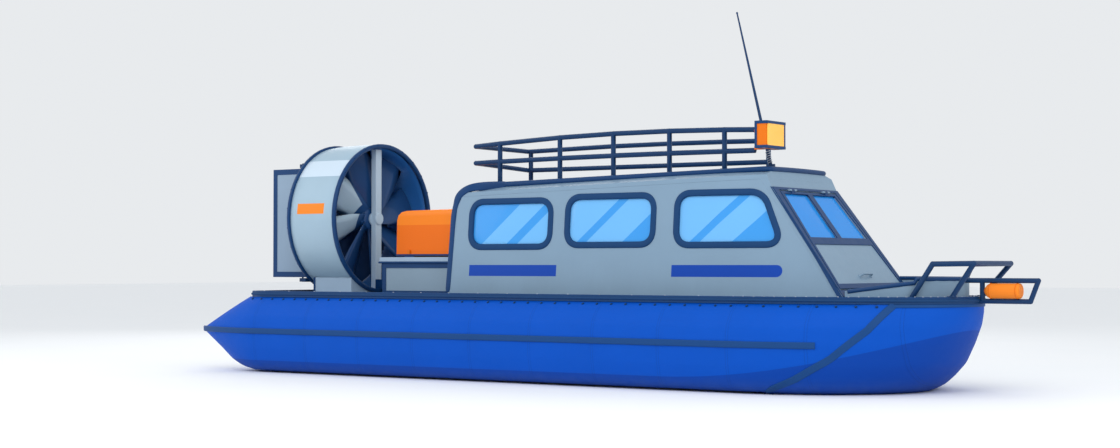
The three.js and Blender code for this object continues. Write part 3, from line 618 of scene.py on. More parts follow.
@dataclass(frozen=True)
class TintedGlass(Finish):
    """Pale blue glass with painted reflections: slanting lighter bands, as the sky shows in it."""

    light: Colour = tone("7cc4fb")
    deep: Colour = tone("3f9fee")
    slant: float = 1.15
    foot: float = 1.69
    # the painted reflection bands are deep and light by turns; those past the split are for the front
    # windows
    split: float = 7.4
    split_shift: float = 2.0
    start: float = 3.9
    length: float = 7.0
    edges: tuple[float, ...] = (4.684, 5.053, 5.221, 6.107, 6.230, 6.755, 8.900, 9.689, 9.819, 10.238)
    opacity: float = 0.86

    def pattern(self, tree: PaintTree, place: Place, colour: Shade) -> Shade:
        """Lays the slanting bands of painted reflection over the tint.

        Args:
            tree: The material's tree.
            place: Station, offset and height.
            colour: The tint with its mottling.

        Returns:
            The colour over the surface.
        """
        x, _, z = place
        along = x - (z - self.foot) * self.slant + (x > self.split) * self.split_shift
        stops = [(0.0, self.deep)]
        for k, edge in enumerate(self.edges):
            stops.append(((edge - self.start) / self.length, self.deep if k % 2 else self.light))
        share = (along - self.start) / self.length
        ramp = tree.node("ShaderNodeValToRGB", {"stops": stops}, {"Fac": share})
        return tree.mix(0.15, tree.out(ramp), colour)

    def finish_off(self, tree: PaintTree) -> None:
        """Lets some light through."""
        tree.shade({"Alpha": self.opacity})


@dataclass(frozen=True)
class LampLens(Finish):
    """Amber lens with upright ribs, faintly lit."""

    rib: float = 0.022
    glow: float = 0.25

    def surface(self, tree: PaintTree, place: Place, grain: Shade) -> Shade:
        """Adds upright ribs to the grain."""
        return (place[1] * (TURN / self.rib)).sine() * 0.5 + grain * 0.05

    def finish_off(self, tree: PaintTree) -> None:
        """Makes the lens glow a little."""
        tree.shade({"Emission Color": self.colour, "Emission Strength": self.glow})


@dataclass(frozen=True)
class BladeShading(Finish):
    """Fan blades in navy as painted shade, with two in a lighter tone as painted light."""

    axis: float = 2.06
    # direction between the two blades painted as lit, as offset and height
    lit_way: Pair = (-0.9914, 0.1305)
    lit_reach: float = 0.766
    hub: Pair = (0.26, 0.27)
    lit_tone: Colour = tone("a3bccd")

    def pattern(self, tree: PaintTree, place: Place, colour: Shade) -> Shade:
        """Paints two of the blades in the lighter tone as lit, outside the hub; the rest keep the navy of
        painted shade.

        Args:
            tree: The material's tree.
            place: Station, offset and height.
            colour: The navy of painted shade, with its mottling.

        Returns:
            The colour over the surface.
        """
        _, y, z = place
        radius = (y * y + (z - self.axis) ** 2.0) ** 0.5
        facing = (y * self.lit_way[0] + (z - self.axis) * self.lit_way[1]) / radius
        # the two blades painted as lit
        lit_blades = (facing > self.lit_reach) * tree.step(radius, *self.hub)
        return tree.mix(lit_blades, colour, self.lit_tone)


# skirt fabric with painted shade along its underside
SKIRT = SkirtFabric("skirt_fabric", "skirt_blue", tone("0050bb"), roughness=0.6, gloss=0.12, relief=0.0006)
SEAM_TAPE = Finish("skirt_seam_tape", "navy_trim", tone("0f437d"), roughness=0.55, grain=420.0)
CABIN = StripedPaint("cabin_side_paint", "cabin_grey", tone("7f99af"), roughness=0.42, coat=0.05)
ROOF = Finish("cabin_paint", "cabin_grey", tone("7f99af"), roughness=0.42, coat=0.05)
HATCH = TwoTonePaint("hatch_paint", "cabin_grey", tone("7f99af"), roughness=0.42, coat=0.05)
CASING = RivetedPaint("casing_paint", "cabin_grey", tone("899eaf"), roughness=0.42, relief=0.0008)
DECK = TreadPaint("deck_tread_paint", "deck_grey", tone("8899ad"), roughness=0.7, relief=0.0012)
# duct with a painted highlight band outside and navy painted shade inside
DUCT = DuctPaint("duct_paint", "duct_grey", tone("9fb8c9"), roughness=0.4, coat=0.1)
POST = Finish("pylon_paint", "cabin_grey", tone("b4c9da"), roughness=0.4)
LEDGE = Finish("ledge_paint", "duct_grey", tone("9db3c8"), roughness=0.4)
NAVY = Finish("navy_trim_paint", "navy_trim", tone("0f3b6b"), roughness=0.45, coat=0.05)
RUBBER = Finish("navy_seal_rubber", "navy_trim", tone("113c69"), roughness=0.62, grain=1200.0)
TUBE = Finish("tube_powder_coat", "tube_navy", tone("12365f"), roughness=0.42, relief=0.0003)
HOOD = TwoTonePaint(
    "hood_gel_coat", "hood_orange", tone("fb8312"), roughness=0.34, coat=0.12,
    other=tone("f16f01"), line=1.958, other_below=True,
)
LAMP = Finish("lamp_case_paint", "hood_orange", tone("e57207"), roughness=0.38, coat=0.1)
LENS = LampLens("lamp_lens_amber", "lamp_amber", tone("fcbe57"), roughness=0.12, relief=0.003)
FENDER = Finish("fender_rubber", "fender_orange", tone("fd8924"), roughness=0.5, grain=500.0)
# side glass with painted reflection bands
GLASS = TintedGlass("side_glass", "window_blue", tone("55b4ff"), roughness=0.1, coat=0.2, relief=0.00002)
SCREEN = TintedGlass(
    "screen_glass", "window_blue", tone("2f97ef"), roughness=0.1, coat=0.05, gloss=0.1, relief=0.00002,
    light=tone("2f97ef"), deep=tone("2f97ef"),
)
SKID = Finish("skid_plastic", "skid_plastic", tone("2a2f36"), roughness=0.6, mottle=0.2, grain=300.0)
# navy blades as painted shade, two painted lighter as lit
BLADE = BladeShading("blade_composite", "blade_grey", tone("1d4576"), roughness=0.35, coat=0.2)
RUDDER = RivetedPaint("rudder_paint", "rudder_grey", tone("8da2b7"), roughness=0.4, relief=0.0006)
IRON = Finish("engine_iron", "engine_iron", tone("6c7076"), roughness=0.6, metallic=0.6, relief=0.0008)
STEEL = Finish("stainless_steel", "engine_iron", tone("b8bec6"), roughness=0.28, metallic=1.0)
PLASTIC = Finish("console_plastic", "console_plastic", tone("2b3642"), roughness=0.55, relief=0.0004)
GRIP = Finish("wheel_grip", "wheel_rubber", tone("1d2126"), roughness=0.7, grain=900.0, relief=0.0005)
CLOTH = CushionCloth("seat_cloth", "seat_cloth", tone("38597f"), roughness=0.85, relief=0.0006)
BENCH = Finish("bench_laminate", "seat_cloth", tone("8496a8"), roughness=0.45)


class Skin:
    """Finds points on the outside of CAD nodes at rest."""

    def __init__(self, *nodes: str) -> None:
        """Gathers the faces of the nodes.

        Args:
            nodes: Names of CAD nodes.
        """
        points: list[Vector] = []
        faces: list[tuple[int, ...]] = []
        for name in nodes:
            mesh = NODES[name].data
            first = len(points)
            points += [v.co.copy() for v in mesh.vertices]
            faces += [tuple(first + i for i in p.vertices) for p in mesh.polygons]
        self.tree = BVHTree.FromPolygons(points, faces)

    def hit(self, start: Vector, towards: Vector) -> tuple[Vector, Vector]:
        """Follows a ray to the skin.

        Args:
            start: Where the ray starts.
            towards: Its direction.

        Returns:
            The point and its outward normal, or those of the nearest point where the ray misses.
        """
        point, normal, _, _ = self.tree.ray_cast(start, towards)
        if point is None:
            point, normal, _, _ = self.tree.find_nearest(start)
        return point, normal if normal.dot(towards) < 0 else -normal


class Piece:
    """The mesh of one fitting, gathered from skins and then made into an object."""

    def __init__(self, name: str, finish: Finish, body: Body = Body.HULL) -> None:
        """Starts an empty mesh.

        Args:
            name: The object's name.
            finish: What it is painted or made of.
            body: The body that it rides on.
        """
        self.name = name
        self.finish = finish
        self.body = body
        self.points: list[Vector] = []
        self.faces: list[tuple[int, ...]] = []

    def skin(
        self, rows: Rows, ring: bool = True, loop: bool = False, caps: bool = True
    ) -> "Piece":
        """Joins rows of points with faces.

        Args:
            rows: Rows of equal length.
            ring: Whether each row closes on itself.
            loop: Whether the last row joins the first.
            caps: Whether the first and last rows are closed by a face, where they don't loop.

        Returns:
            The piece.
        """
        first, width = len(self.points), len(rows[0])
        self.points += [Vector(p) for row in rows for p in row]
        columns = width if ring else width - 1
        for r in range(len(rows) if loop else len(rows) - 1):
            low, high = first + r * width, first + (r + 1) % len(rows) * width
            for i in range(columns):
                j = (i + 1) % width
                self.faces.append((low + i, low + j, high + j, high + i))
        if caps and not loop:
            last = first + (len(rows) - 1) * width
            self.faces.append(tuple(range(first + width - 1, first - 1, -1)))
            self.faces.append(tuple(range(last, last + width)))
        return self

    def lattice(self, under: Rows, over: Rows, open_cells: Sequence[tuple[int, int]] = ()) -> "Piece":
        """Adds a sheet with a thickness whose cells can be left open.

        Args:
            under: The grid of points where the sheet lies on something.
            over: The same grid at the outer face.
            open_cells: Row and column of each open cell.

        Returns:
            The piece.
        """
        first, rows, width = len(self.points), len(under), len(under[0])
        self.points += [Vector(p) for row in [*under, *over] for p in row]
        upper = rows * width

        def closed(r: int, c: int) -> bool:
            """Tells whether there is a cell here that isn't open."""
            return 0 <= r < rows - 1 and 0 <= c < width - 1 and (r, c) not in open_cells

        for r in range(rows - 1):
            for c in range(width - 1):
                if not closed(r, c):
                    continue
                a = first + r * width + c
                corners = (a, a + 1, a + 1 + width, a + width)
                self.faces.append(corners)
                self.faces.append(tuple(k + upper for k in reversed(corners)))
                beside = ((r - 1, c), (r, c + 1), (r + 1, c), (r, c - 1))
                for k, cell in enumerate(beside):
                    if not closed(*cell):
                        p, q = corners[k], corners[(k + 1) % 4]
                        self.faces.append((p, q, q + upper, p + upper))
        return self

    def sweep(
        self, rails: Sequence[tuple[Vector, Vector, Vector]], section: Sequence[Pair],
        loop: bool = False,
    ) -> "Piece":
        """Carries a section along rails of points with the directions of its two axes."""
        rows = [[p + a * u + b * v for a, b in section] for p, u, v in rails]
        return self.skin(rows, loop=loop)

    def frame(
        self, rows: Sequence[tuple[float, Sequence]], lifts: Pair, place: Callable[..., Vector],
        open_cells: Sequence[tuple[int, int]] = ((1, 1),),
    ) -> "Piece":
        """Adds a lattice given by the places of its rows, each with its columns, and its two lifts."""
        layers = [[[place(c, r, lift) for c in columns] for r, columns in rows] for lift in lifts]
        return self.lattice(*layers, open_cells)

    def beside(self, centre: Vector, half: Vector, turn: Matrix | None = None) -> "Piece":
        """Adds a box of a given half size about its middle."""
        return self.block(centre - half, centre + half, turn)

    def tube(
        self, path: Sequence[Vector], radius: float | Callable[[float], float], sides: int = 12,
        loop: bool = False,
    ) -> "Piece":
        """Adds a round tube along a path.

        Args:
            path: Points along its middle.
            radius: Its radius, or a function of the share of the path.
            sides: Points around it.
            loop: Whether the path closes.

        Returns:
            The piece.
        """
        count = len(path)
        side = UP
        rows = []
        for k, point in enumerate(path):
            before = path[k - 1] if k or loop else point
            after = path[(k + 1) % count] if k < count - 1 or loop else point
            along = (after - before).normalized()
            across = side.cross(along)
            across = across.normalized() if across.length > 1e-4 else TO_PORT
            side = along.cross(across).normalized()
            size = radius(k / max(1, count - 1)) if callable(radius) else radius
            rows.append(circle(point, across, side, size, sides))
        return self.skin(rows, loop=loop)

    def turned(
        self, middle: Vector, axis: Vector, profile: Sequence[Pair], sides: int = 24
    ) -> "Piece":
        """Turns a profile about an axis.

        Args:
            middle: A point on the axis.
            axis: The axis' direction.
            profile: Distance along the axis and radius, from end to end.
            sides: Points around it.

        Returns:
            The piece.
        """
        axis = axis.normalized()
        across = axis.orthogonal().normalized()
        up = axis.cross(across)
        return self.skin([circle(middle + axis * a, across, up, max(r, 0.0004), sides) for a, r in profile])

    def block(self, low: Vector, high: Vector, turn: Matrix | None = None) -> "Piece":
        """Adds a box between two corners.

        Args:
            low: Its lowest corner.
            high: Its highest corner.
            turn: A turn about its middle.

        Returns:
            The piece.
        """
        middle, half = (low + high) / 2, (high - low) / 2
        corners = [(-1, -1), (1, -1), (1, 1), (-1, 1)]
        rows = [[Vector((a * half.x, b * half.y, c * half.z)) for a, b in corners] for c in (-1, 1)]
        return self.skin([[middle + (turn @ p if turn else p) for p in row] for row in rows])

    def bolt(self, point: Vector, out: Vector, size: float = 0.012) -> "Piece":
        """Adds a hexagon head of a given radius on a washer."""
        self.turned(point, out, [(-0.002, size * 1.5), (size * 0.25, size * 1.5)], 16)
        return self.turned(point, out, [(size * 0.2, size), (size * 0.85, size), (size, size * 0.8)], 6)

    def mesh(self, smooth: float = 35.0) -> bpy.types.Mesh:
        """Makes the mesh.

        Args:
            smooth: The angle in degrees up to which an edge is shaded as round.

        Returns:
            The mesh, without doubled points.
        """
        sheet = bmesh.new()
        corners = [sheet.verts.new(p) for p in self.points]
        for face in self.faces:
            sheet.faces.new([corners[i] for i in face])
        bmesh.ops.remove_doubles(sheet, verts=sheet.verts, dist=1e-5)
        bmesh.ops.recalc_face_normals(sheet, faces=sheet.faces)
        limit = math.radians(smooth)
        for face in sheet.faces:
            face.smooth = True
        for edge in sheet.edges:
            edge.smooth = len(edge.link_faces) == 2 and edge.calc_face_angle(0.0) < limit
        mesh = bpy.data.meshes.new(self.name)
        sheet.to_mesh(mesh)
        sheet.free()
        return mesh

    def make(self, bevel: float = 0.0, smooth: float = 35.0, subdivide: int = 0) -> bpy.types.Object:
        """Makes the object.

        Args:
            bevel: Width of the rounding on its edges.
            smooth: The angle in degrees up to which an edge is shaded as round.
            subdivide: How often its faces are divided smoothly.

        Returns:
            The object, painted and riding on its body.
        """
        thing = add_object(self.name, self.mesh(smooth))
        if bevel:
            add_bevel(thing, bevel)
        if subdivide:
            divide = thing.modifiers.new("divide", "SUBSURF")
            divide.levels = divide.render_levels = subdivide
        return dress(thing, self.finish, self.body)


def add_bevel(thing: bpy.types.Object, width: float) -> None:
    """Rounds an object's edges and evens its shading.

    Args:
        thing: The object.
        width: The rounding's width.
    """
    rounding = thing.modifiers.new("edge", "BEVEL")
    rounding.width = width
    rounding.segments = 2
    rounding.limit_method = "ANGLE"
    rounding.angle_limit = math.radians(38)
    even = thing.modifiers.new("even", "WEIGHTED_NORMAL")
    even.keep_sharp = True


def dress(thing: bpy.types.Object, finish: Finish, body: Body) -> bpy.types.Object:
    """Gives a new piece its material and its body.

    Args:
        thing: The piece.
        finish: What it is painted or made of.
        body: The body that it rides on.

    Returns:
        The piece.
    """
    thing.data.materials.clear()
    thing.data.materials.append(finish.material())
    log.info("%s in %s", thing.name, finish.name)
    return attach(thing, body.value)


def paint(finish: Finish, *nodes: str, bevel: float = 0.003) -> None:
    """Gives CAD nodes a finish and rounds the look of their edges.

    Args:
        finish: The finish.
        nodes: Names of CAD nodes.
        bevel: Width of the rounding, or 0 for none.
    """
    for name in nodes:
        node = NODES[name]
        node.data.materials.clear()
        node.data.materials.append(finish.material())
        log.info("%s in %s", name, finish.name)
        for polygon in node.data.polygons:
            polygon.use_smooth = True
            polygon.material_index = 0
        weld = node.modifiers.new("weld", "WELD")
        weld.merge_threshold = 0.00002
        if bevel:
            add_bevel(node, bevel)
        else:
            node.modifiers.new("even", "WEIGHTED_NORMAL").keep_sharp = True


def rounded(corners: Sequence[Pair], radius: float, steps: int = 6) -> list[Pair]:
    """Rounds the corners of a closed outline with short curves.

    Args:
        corners: The outline's corners.
        radius: How far from a corner its curve starts.
        steps: Pieces in each curve.

    Returns:
        The points of the rounded outline.
    """
    points = []
    for i, corner in enumerate(corners):
        here = Vector(corner)
        ends = []
        for other in (corners[i - 1], corners[(i + 1) % len(corners)]):
            way = Vector(other) - here
            ends.append(here + way.normalized() * min(radius, way.length / 2))
        for k in range(steps + 1):
            t = k / steps
            point = ends[0] * (1 - t) ** 2 + here * (2 * t * (1 - t)) + ends[1] * t * t
            points.append((point.x, point.y))
    return points


def scaled(outline: Sequence[Pair], middle: Vector, size: float) -> list[Vector]:
    """Makes an outline smaller or larger about its middle."""
    return [middle + (Vector(p) - middle) * size for p in outline]


def finer(points: Sequence[Pair], reach: float) -> list[Pair]:
    """Adds points to a closed outline.

    Args:
        points: The outline's points.
        reach: How far a point may be from the next.

    Returns:
        The finer outline.
    """
    found = []
    for here, there in zip(points, [*points[1:], points[0]]):
        pieces = max(1, math.ceil(math.dist(here, there) / reach))
        found += [tuple(a + (b - a) * k / pieces for a, b in zip(here, there)) for k in range(pieces)]
    return found


def outward(points: Sequence[Pair]) -> list[Vector]:
    """Gives the outward normal at each point of a closed outline.

    Args:
        points: The outline's points, either way round.

    Returns:
        A unit vector for each point.
    """
    middle = sum((Vector(p) for p in points), Vector((0, 0))) / len(points)
    normals = []
    for k, point in enumerate(points):
        before, after = Vector(points[k - 1]), Vector(points[(k + 1) % len(points)])
        along = after - before
        normal = Vector((along.y, -along.x)).normalized()
        normals.append(normal if normal.dot(Vector(point) - middle) > 0 else -normal)
    return normals


@dataclass
class Studio:
    """The camera, the floor and the light."""

    eye: Triple = (18.8848, -19.6288, 1.4402)
    heading: float = 34.8898
    pitch: float = 1.2274
    focal_pixels: float = 1867.93
    image_width: int = 1120
    sensor: float = 36.0
    floor_half: float = 90.0
    floor_tones: tuple[Colour, Colour] = ((0.91, 0.93, 0.95), (0.94, 0.95, 0.965))
    sky: Colour = (0.95, 0.975, 1.0)
    sky_strength: float = 0.85
    aim: Triple = (0.0, 0.0, 1.2)
    # name, place, size and power of each lamp
    lamps: tuple[tuple[str, Triple, float, float], ...] = (
        ("key", (6.0, -12.0, 11.0), 9.0, 700.0),
        ("fill", (-12.0, -9.0, 8.0), 9.0, 350.0),
        ("back", (-10.0, 11.0, 9.0), 9.0, 400.0),
        ("bow", (14.0, -2.0, 6.0), 6.0, 200.0),
    )

    def place_camera(self) -> None:
        """Puts the camera where the photo was fitted to."""
        camera = bpy.data.cameras.new("camera")
        camera.sensor_width = self.sensor
        camera.lens = self.focal_pixels * self.sensor / self.image_width
        camera.clip_end = 500.0
        holder = add_object("camera", camera)
        holder.location = at(*self.eye)
        holder.rotation_euler = (math.radians(90 + self.pitch), 0, math.radians(self.heading))
        bpy.context.scene.camera = holder

    def lay_floor(self) -> None:
        """Lays a pale floor under the skids."""
        half = self.floor_half
        floor = bpy.data.meshes.new("floor")
        corners = [(-half, -half, 0), (half, -half, 0), (half, half, 0), (-half, half, 0)]
        floor.from_pydata(corners, [], [(0, 1, 2, 3)])
        thing = add_object("floor", floor)
        tree = PaintTree("studio_floor")
        tree.shade({"Base Color": tree.mix(tree.noise(0.6), *self.floor_tones), "Roughness": 0.8})
        floor.materials.append(tree.material)

    def light(self) -> None:
        """Hangs soft lamps round the craft under a pale sky."""
        world = bpy.data.worlds.new("studio")
        bpy.context.scene.world = world
        world.use_nodes = True
        sky = world.node_tree.nodes["Background"]
        sky.inputs["Color"].default_value = (*self.sky, 1.0)
        sky.inputs["Strength"].default_value = self.sky_strength
        bpy.context.scene.view_settings.view_transform = "Standard"
        for name, place, size, power in self.lamps:
            lamp = bpy.data.lights.new(name, "AREA")
            lamp.size = size
            lamp.energy = power
            holder = add_object(name, lamp)
            holder.location = place
            way = Vector(self.aim) - Vector(place)
            holder.rotation_euler = way.to_track_quat("-Z", "Y").to_euler()


@dataclass
class Skirts:
    """The inflated skirts, their tapes and rub strips, and the wear skids."""

    shoulder: float = 8.5
    tail_full: float = 1.3
    tail_centre: float = 1.18
    inner: float = 0.75
    cone: float = 1.35
    # height, half beam, tip of the tail and stem
    levels: tuple[tuple[float, float, float, float], ...] = (
        (0.004, 1.350, 1.040, 10.190),
        (0.025, 1.400, 1.000, 10.250),
        (0.060, 1.490, 0.790, 10.330),
        (0.160, 1.550, 0.575, 10.450),
        (0.320, 1.585, 0.350, 10.600),
        (0.553, 1.600, 0.000, 10.715),
        (0.760, 1.570, 0.400, 10.800),
        (0.900, 1.480, 0.690, 10.835),
        (1.000, 1.365, 0.895, 10.850),
    )
    # station and height of the seam between the side and bow skirts
    seam: tuple[Pair, ...] = (
        (8.760, -0.040), (9.290, 0.170), (9.680, 0.400), (10.055, 0.725), (10.258, 1.000), (10.320, 1.100),
    )
    rounding: float = 0.022
    bulge: float = 0.007
    pitch: float = 0.9
    rows: int = 30
    strake_height: float = 0.553
    strake_end: float = 9.549
    stand: float = 0.009
    # sections of the tape over a seam and of the rub strip, along the cloth and out of it
    tape: tuple[Pair, ...] = (
        (-0.041, -0.02), (-0.041, 0.004), (-0.034, 0.009), (0.034, 0.009), (0.041, 0.004), (0.041, -0.02),
    )
    strip: tuple[Pair, ...] = (
        (-0.036, -0.03), (-0.036, 0.002), (-0.026, 0.010), (0.026, 0.010), (0.036, 0.002), (0.036, -0.03),
    )
    clamp_height: float = 0.972
    clamp_ends: Pair = (1.1, 10.1)
    clamps: int = 46
    band: Pair = (0.966, 0.999)
    stern_outline: tuple[Pair, ...] = ((0.72, 0.06), (1.0, 0.04), (1.0, 0.64), (0.82, 0.64))
    lobes: int = 7

    def level(self, z: float, column: int) -> float:
        """Reads one column of the levels with the corners between them rounded.

        Args:
            z: The height.
            column: The column's number.

        Returns:
            The value.
        """
        reach = min(self.rounding, z - self.levels[0][0], self.levels[-1][0] - z)
        rows = [(level[0], level[column]) for level in self.levels]
        return sum(read(rows, z + reach * k) for k in (-1, -0.5, 0, 0.5, 1)) / 5

    def seam_at(self, z: float) -> float:
        """Gives the seam's station at a height."""
        return read([(height, x) for x, height in self.seam], z)

    def swell(self, x: float, z: float) -> float:
        """Gives how far the cloth stands out or draws in between its seams."""
        phase = abs(math.sin(math.pi * (x / self.pitch - 0.5)))
        return self.bulge * (phase**0.45 - 0.55) * math.sin(math.pi * min(1.0, max(0.0, z)))

    def tail(self, z: float, turn: float, side: float) -> Pair:
        """Gives a point of the tail cone at an angle from its tip, on the side of a face's offset."""
        x = self.tail_full - (self.tail_full - self.level(z, 2)) * math.cos(turn) ** self.cone
        return x, self.tail_centre + (side - self.tail_centre) * math.sin(turn) ** self.cone

    def bow(self, z: float, turn: float) -> Pair:
        """Gives a point of the bow's outline at an angle from the shoulder."""
        reach = self.level(z, 3) - self.shoulder
        return self.shoulder + reach * math.sin(turn), self.level(z, 1) * math.cos(turn)

    def seam_angle(self, z: float) -> float:
        """Gives the angle from the shoulder at which the seam lies."""
        share = (self.seam_at(z) - self.shoulder) / (self.level(z, 3) - self.shoulder)
        return math.asin(min(1.0, max(0.0, share)))

    def half(self, x: float, z: float) -> float:
        """Gives the half beam of the outer face.

        Args:
            x: The station.
            z: The height.

        Returns:
            The half beam.
        """
        if x > self.shoulder:
            share = min(1.0, (x - self.shoulder) / (self.level(z, 3) - self.shoulder))
            return self.level(z, 1) * math.sqrt(1 - share * share)
        if x < self.tail_full:
            share = min(1.0, (self.tail_full - x) / (self.tail_full - self.level(z, 2)))
            sine = math.sin(math.acos(share ** (1 / self.cone)))
            return self.tail_centre + (self.level(z, 1) - self.tail_centre) * sine**self.cone
        return self.level(z, 1)

    def slope(self, x: float, z: float) -> float:
        """Gives how fast the half beam grows along the hull."""
        return (self.half(x + 0.01, z) - self.half(x - 0.01, z)) / 0.02

    def stations(self) -> list[float]:
        """Gives stations along the straight side.

        Returns:
            The stations, which are closer together at the seams.
        """
        offsets = [0.0, 0.03, 0.1, 0.3, 0.5, 0.7, 0.9, 0.97]
        first = math.ceil(self.tail_full / self.pitch - 0.5)
        panels = range(first - 1, int(self.shoulder / self.pitch) + 1)
        found = [(p + 0.5 + o) * self.pitch for p in panels for o in offsets]
        return [x for x in found if self.tail_full + 0.02 < x < self.shoulder - 0.02]

    def side_row(self, z: float, sign: int) -> list[Vector]:
        """Gives one level of a side skirt, all the way round.

        Args:
            z: The level's height.
            sign: The side's sign.

        Returns:
            The points.
        """
        quarter = math.pi / 2
        outer = [self.tail(z, t, self.level(z, 1)) for t in spread(0.0, quarter, 12)]
        outer += [(x, self.level(z, 1)) for x in self.stations()]
        outer += [self.bow(z, t) for t in spread(0.0, self.seam_angle(z), 14)]
        swollen = [(x, y + self.swell(x, z)) for x, y in outer[1:-1]]
        back = [(x, self.inner) for x in spread(self.seam_at(z), self.tail_full, 14)]
        back += [self.tail(z, t, self.inner) for t in reversed(spread(0.0, quarter, 8)[1:-1])]
        return [at(x, sign * y, z) for x, y in [outer[0], *swollen, outer[-1], *back]]

    def bow_side(self, z: float) -> list[tuple[float, Vector, Vector]]:
        """Follows the bow from its starboard seam to its port one.

        Args:
            z: The height.

        Returns:
            Angles from the shoulder, points, and directions out of the bow.
        """
        start = self.seam_angle(z)
        beam, reach = self.level(z, 1), self.level(z, 3) - self.shoulder
        found = []
        for t in spread(start, math.pi - start, 49):
            out = Vector((math.sin(t) / reach, -math.cos(t) / beam, 0)).normalized()
            found.append((t, at(self.shoulder + reach * math.sin(t), -beam * math.cos(t), z), out))
        return found

    def bow_row(self, z: float) -> list[Vector]:
        """Gives one level of the bow skirt.

        Args:
            z: The level's height.

        Returns:
            The points.
        """
        start, girth = self.seam_angle(z), self.level(z, 1) * 0.96
        return [
            p + out * (0.0 if t in (start, math.pi - start) else self.swell(t * girth, z) * 0.8)
            for t, p, out in self.bow_side(z)
        ]

    def make_bags(self) -> None:
        """Makes the four bags in place of their plain CAD solids."""
        bottom = self.levels[1][0]
        for side, sign in SIDES.items():
            bag = Piece(f"skirt_bag_{side}", SKIRT)
            bag.skin([self.side_row(z, sign) for z in spread(bottom, 1.0, self.rows)])
            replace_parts(bag.make(smooth=50), f"skirt_{side}")
        bow = Piece("skirt_bag_bow", SKIRT)
        bow.skin([self.bow_row(z) for z in spread(self.levels[0][0], 1.0, self.rows)])
        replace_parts(bow.make(smooth=50), "skirt_bow")
        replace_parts(self.stern_bag(), "skirt_stern")

    def stern_bag(self) -> bpy.types.Object:
        """Makes the bag across the stern, gathered into short lobes.

        Returns:
            The bag.
        """
        low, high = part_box("skirt_stern")
        outline = rounded(self.stern_outline, 0.11)
        middle = Vector((0.9, 0.33))
        rows = []
        for share in spread(0.0, 1.0, self.lobes * 8 + 1):
            draw = 1 - 0.05 * (1 - abs(math.sin(math.pi * self.lobes * share)) ** 0.6)
            y = slide((low.y, high.y), share)
            rows.append([at(p.x, y, p.y) for p in scaled(outline, middle, draw)])
        return Piece("skirt_bag_stern", SKIRT).skin(rows).make(smooth=50)

    def seam_tape(self, side: str, sign: int) -> None:
        """Makes the tape over one bow seam.

        Args:
            side: The side's name.
            sign: Its sign.
        """
        rails = []
        for z in spread(0.03, 0.995, 26):
            x = self.seam_at(z)
            along = Vector((self.seam_at(z + 0.01) - self.seam_at(z - 0.01), 0, 0.02)).normalized()
            lean = (self.half(x, min(z + 0.01, 1.0)) - self.half(x, z - 0.01)) / 0.02
            out = Vector((-self.slope(x, z), sign, -lean)).normalized()
            rails.append((at(x, sign * self.half(x, z), z), along.cross(out).normalized(), out))
        Piece(f"skirt_seam_tape_{side}", SEAM_TAPE).sweep(rails, self.tape).make()

    def rub_strip(self, side: str, sign: int) -> None:
        """Makes the rub strip along one side.

        Args:
            side: The side's name.
            sign: Its sign.
        """
        z = self.strake_height
        path = spread(0.03, self.tail_full, 12) + spread(1.5, self.strake_end, 50)
        rails = []
        for x in path:
            out = Vector((-(self.slope(x, z) if x > 0.05 else 0.8), sign, 0)).normalized()
            stand = self.stand if x not in (path[0], path[-1]) else 0.004
            rails.append((at(x, sign * self.half(x, z), z) + out * stand, UP, out))
        Piece(f"skirt_rub_strip_{side}", SEAM_TAPE).sweep(rails, self.strip).make()

    def clamp_bolts(self) -> None:
        """Makes the row of clamp bolts under each gunwale."""
        z = self.clamp_height
        for side, sign in SIDES.items():
            clamps = Piece(f"skirt_clamps_{side}", NAVY)
            for x in spread(*self.clamp_ends, self.clamps):
                lean = (self.half(x, 0.99) - self.half(x, 0.95)) / 0.04
                out = Vector((-self.slope(x, z), sign, -lean)).normalized()
                clamps.bolt(at(x, sign * self.half(x, z), z) + out * 0.003, out, 0.011)
            clamps.make()

    def bow_band(self) -> None:
        """Makes the navy clamping band under the gunwale round the bow."""
        rows = [self.bow_side(z) for z in spread(*self.band, 4)]
        layers = [[[p + out * lift for _, p, out in row] for row in rows] for lift in (-0.010, 0.012)]
        Piece("skirt_bow_band", SEAM_TAPE).lattice(*layers).make(bevel=0.003)

    def build(self) -> None:
        """Builds everything below the gunwale."""
        self.make_bags()
        for side, sign in SIDES.items():
            self.seam_tape(side, sign)
            self.rub_strip(side, sign)
        self.bow_band()
        self.clamp_bolts()
        paint(SKID, "wear_skid_starboard", "wear_skid_port", bevel=0.004)


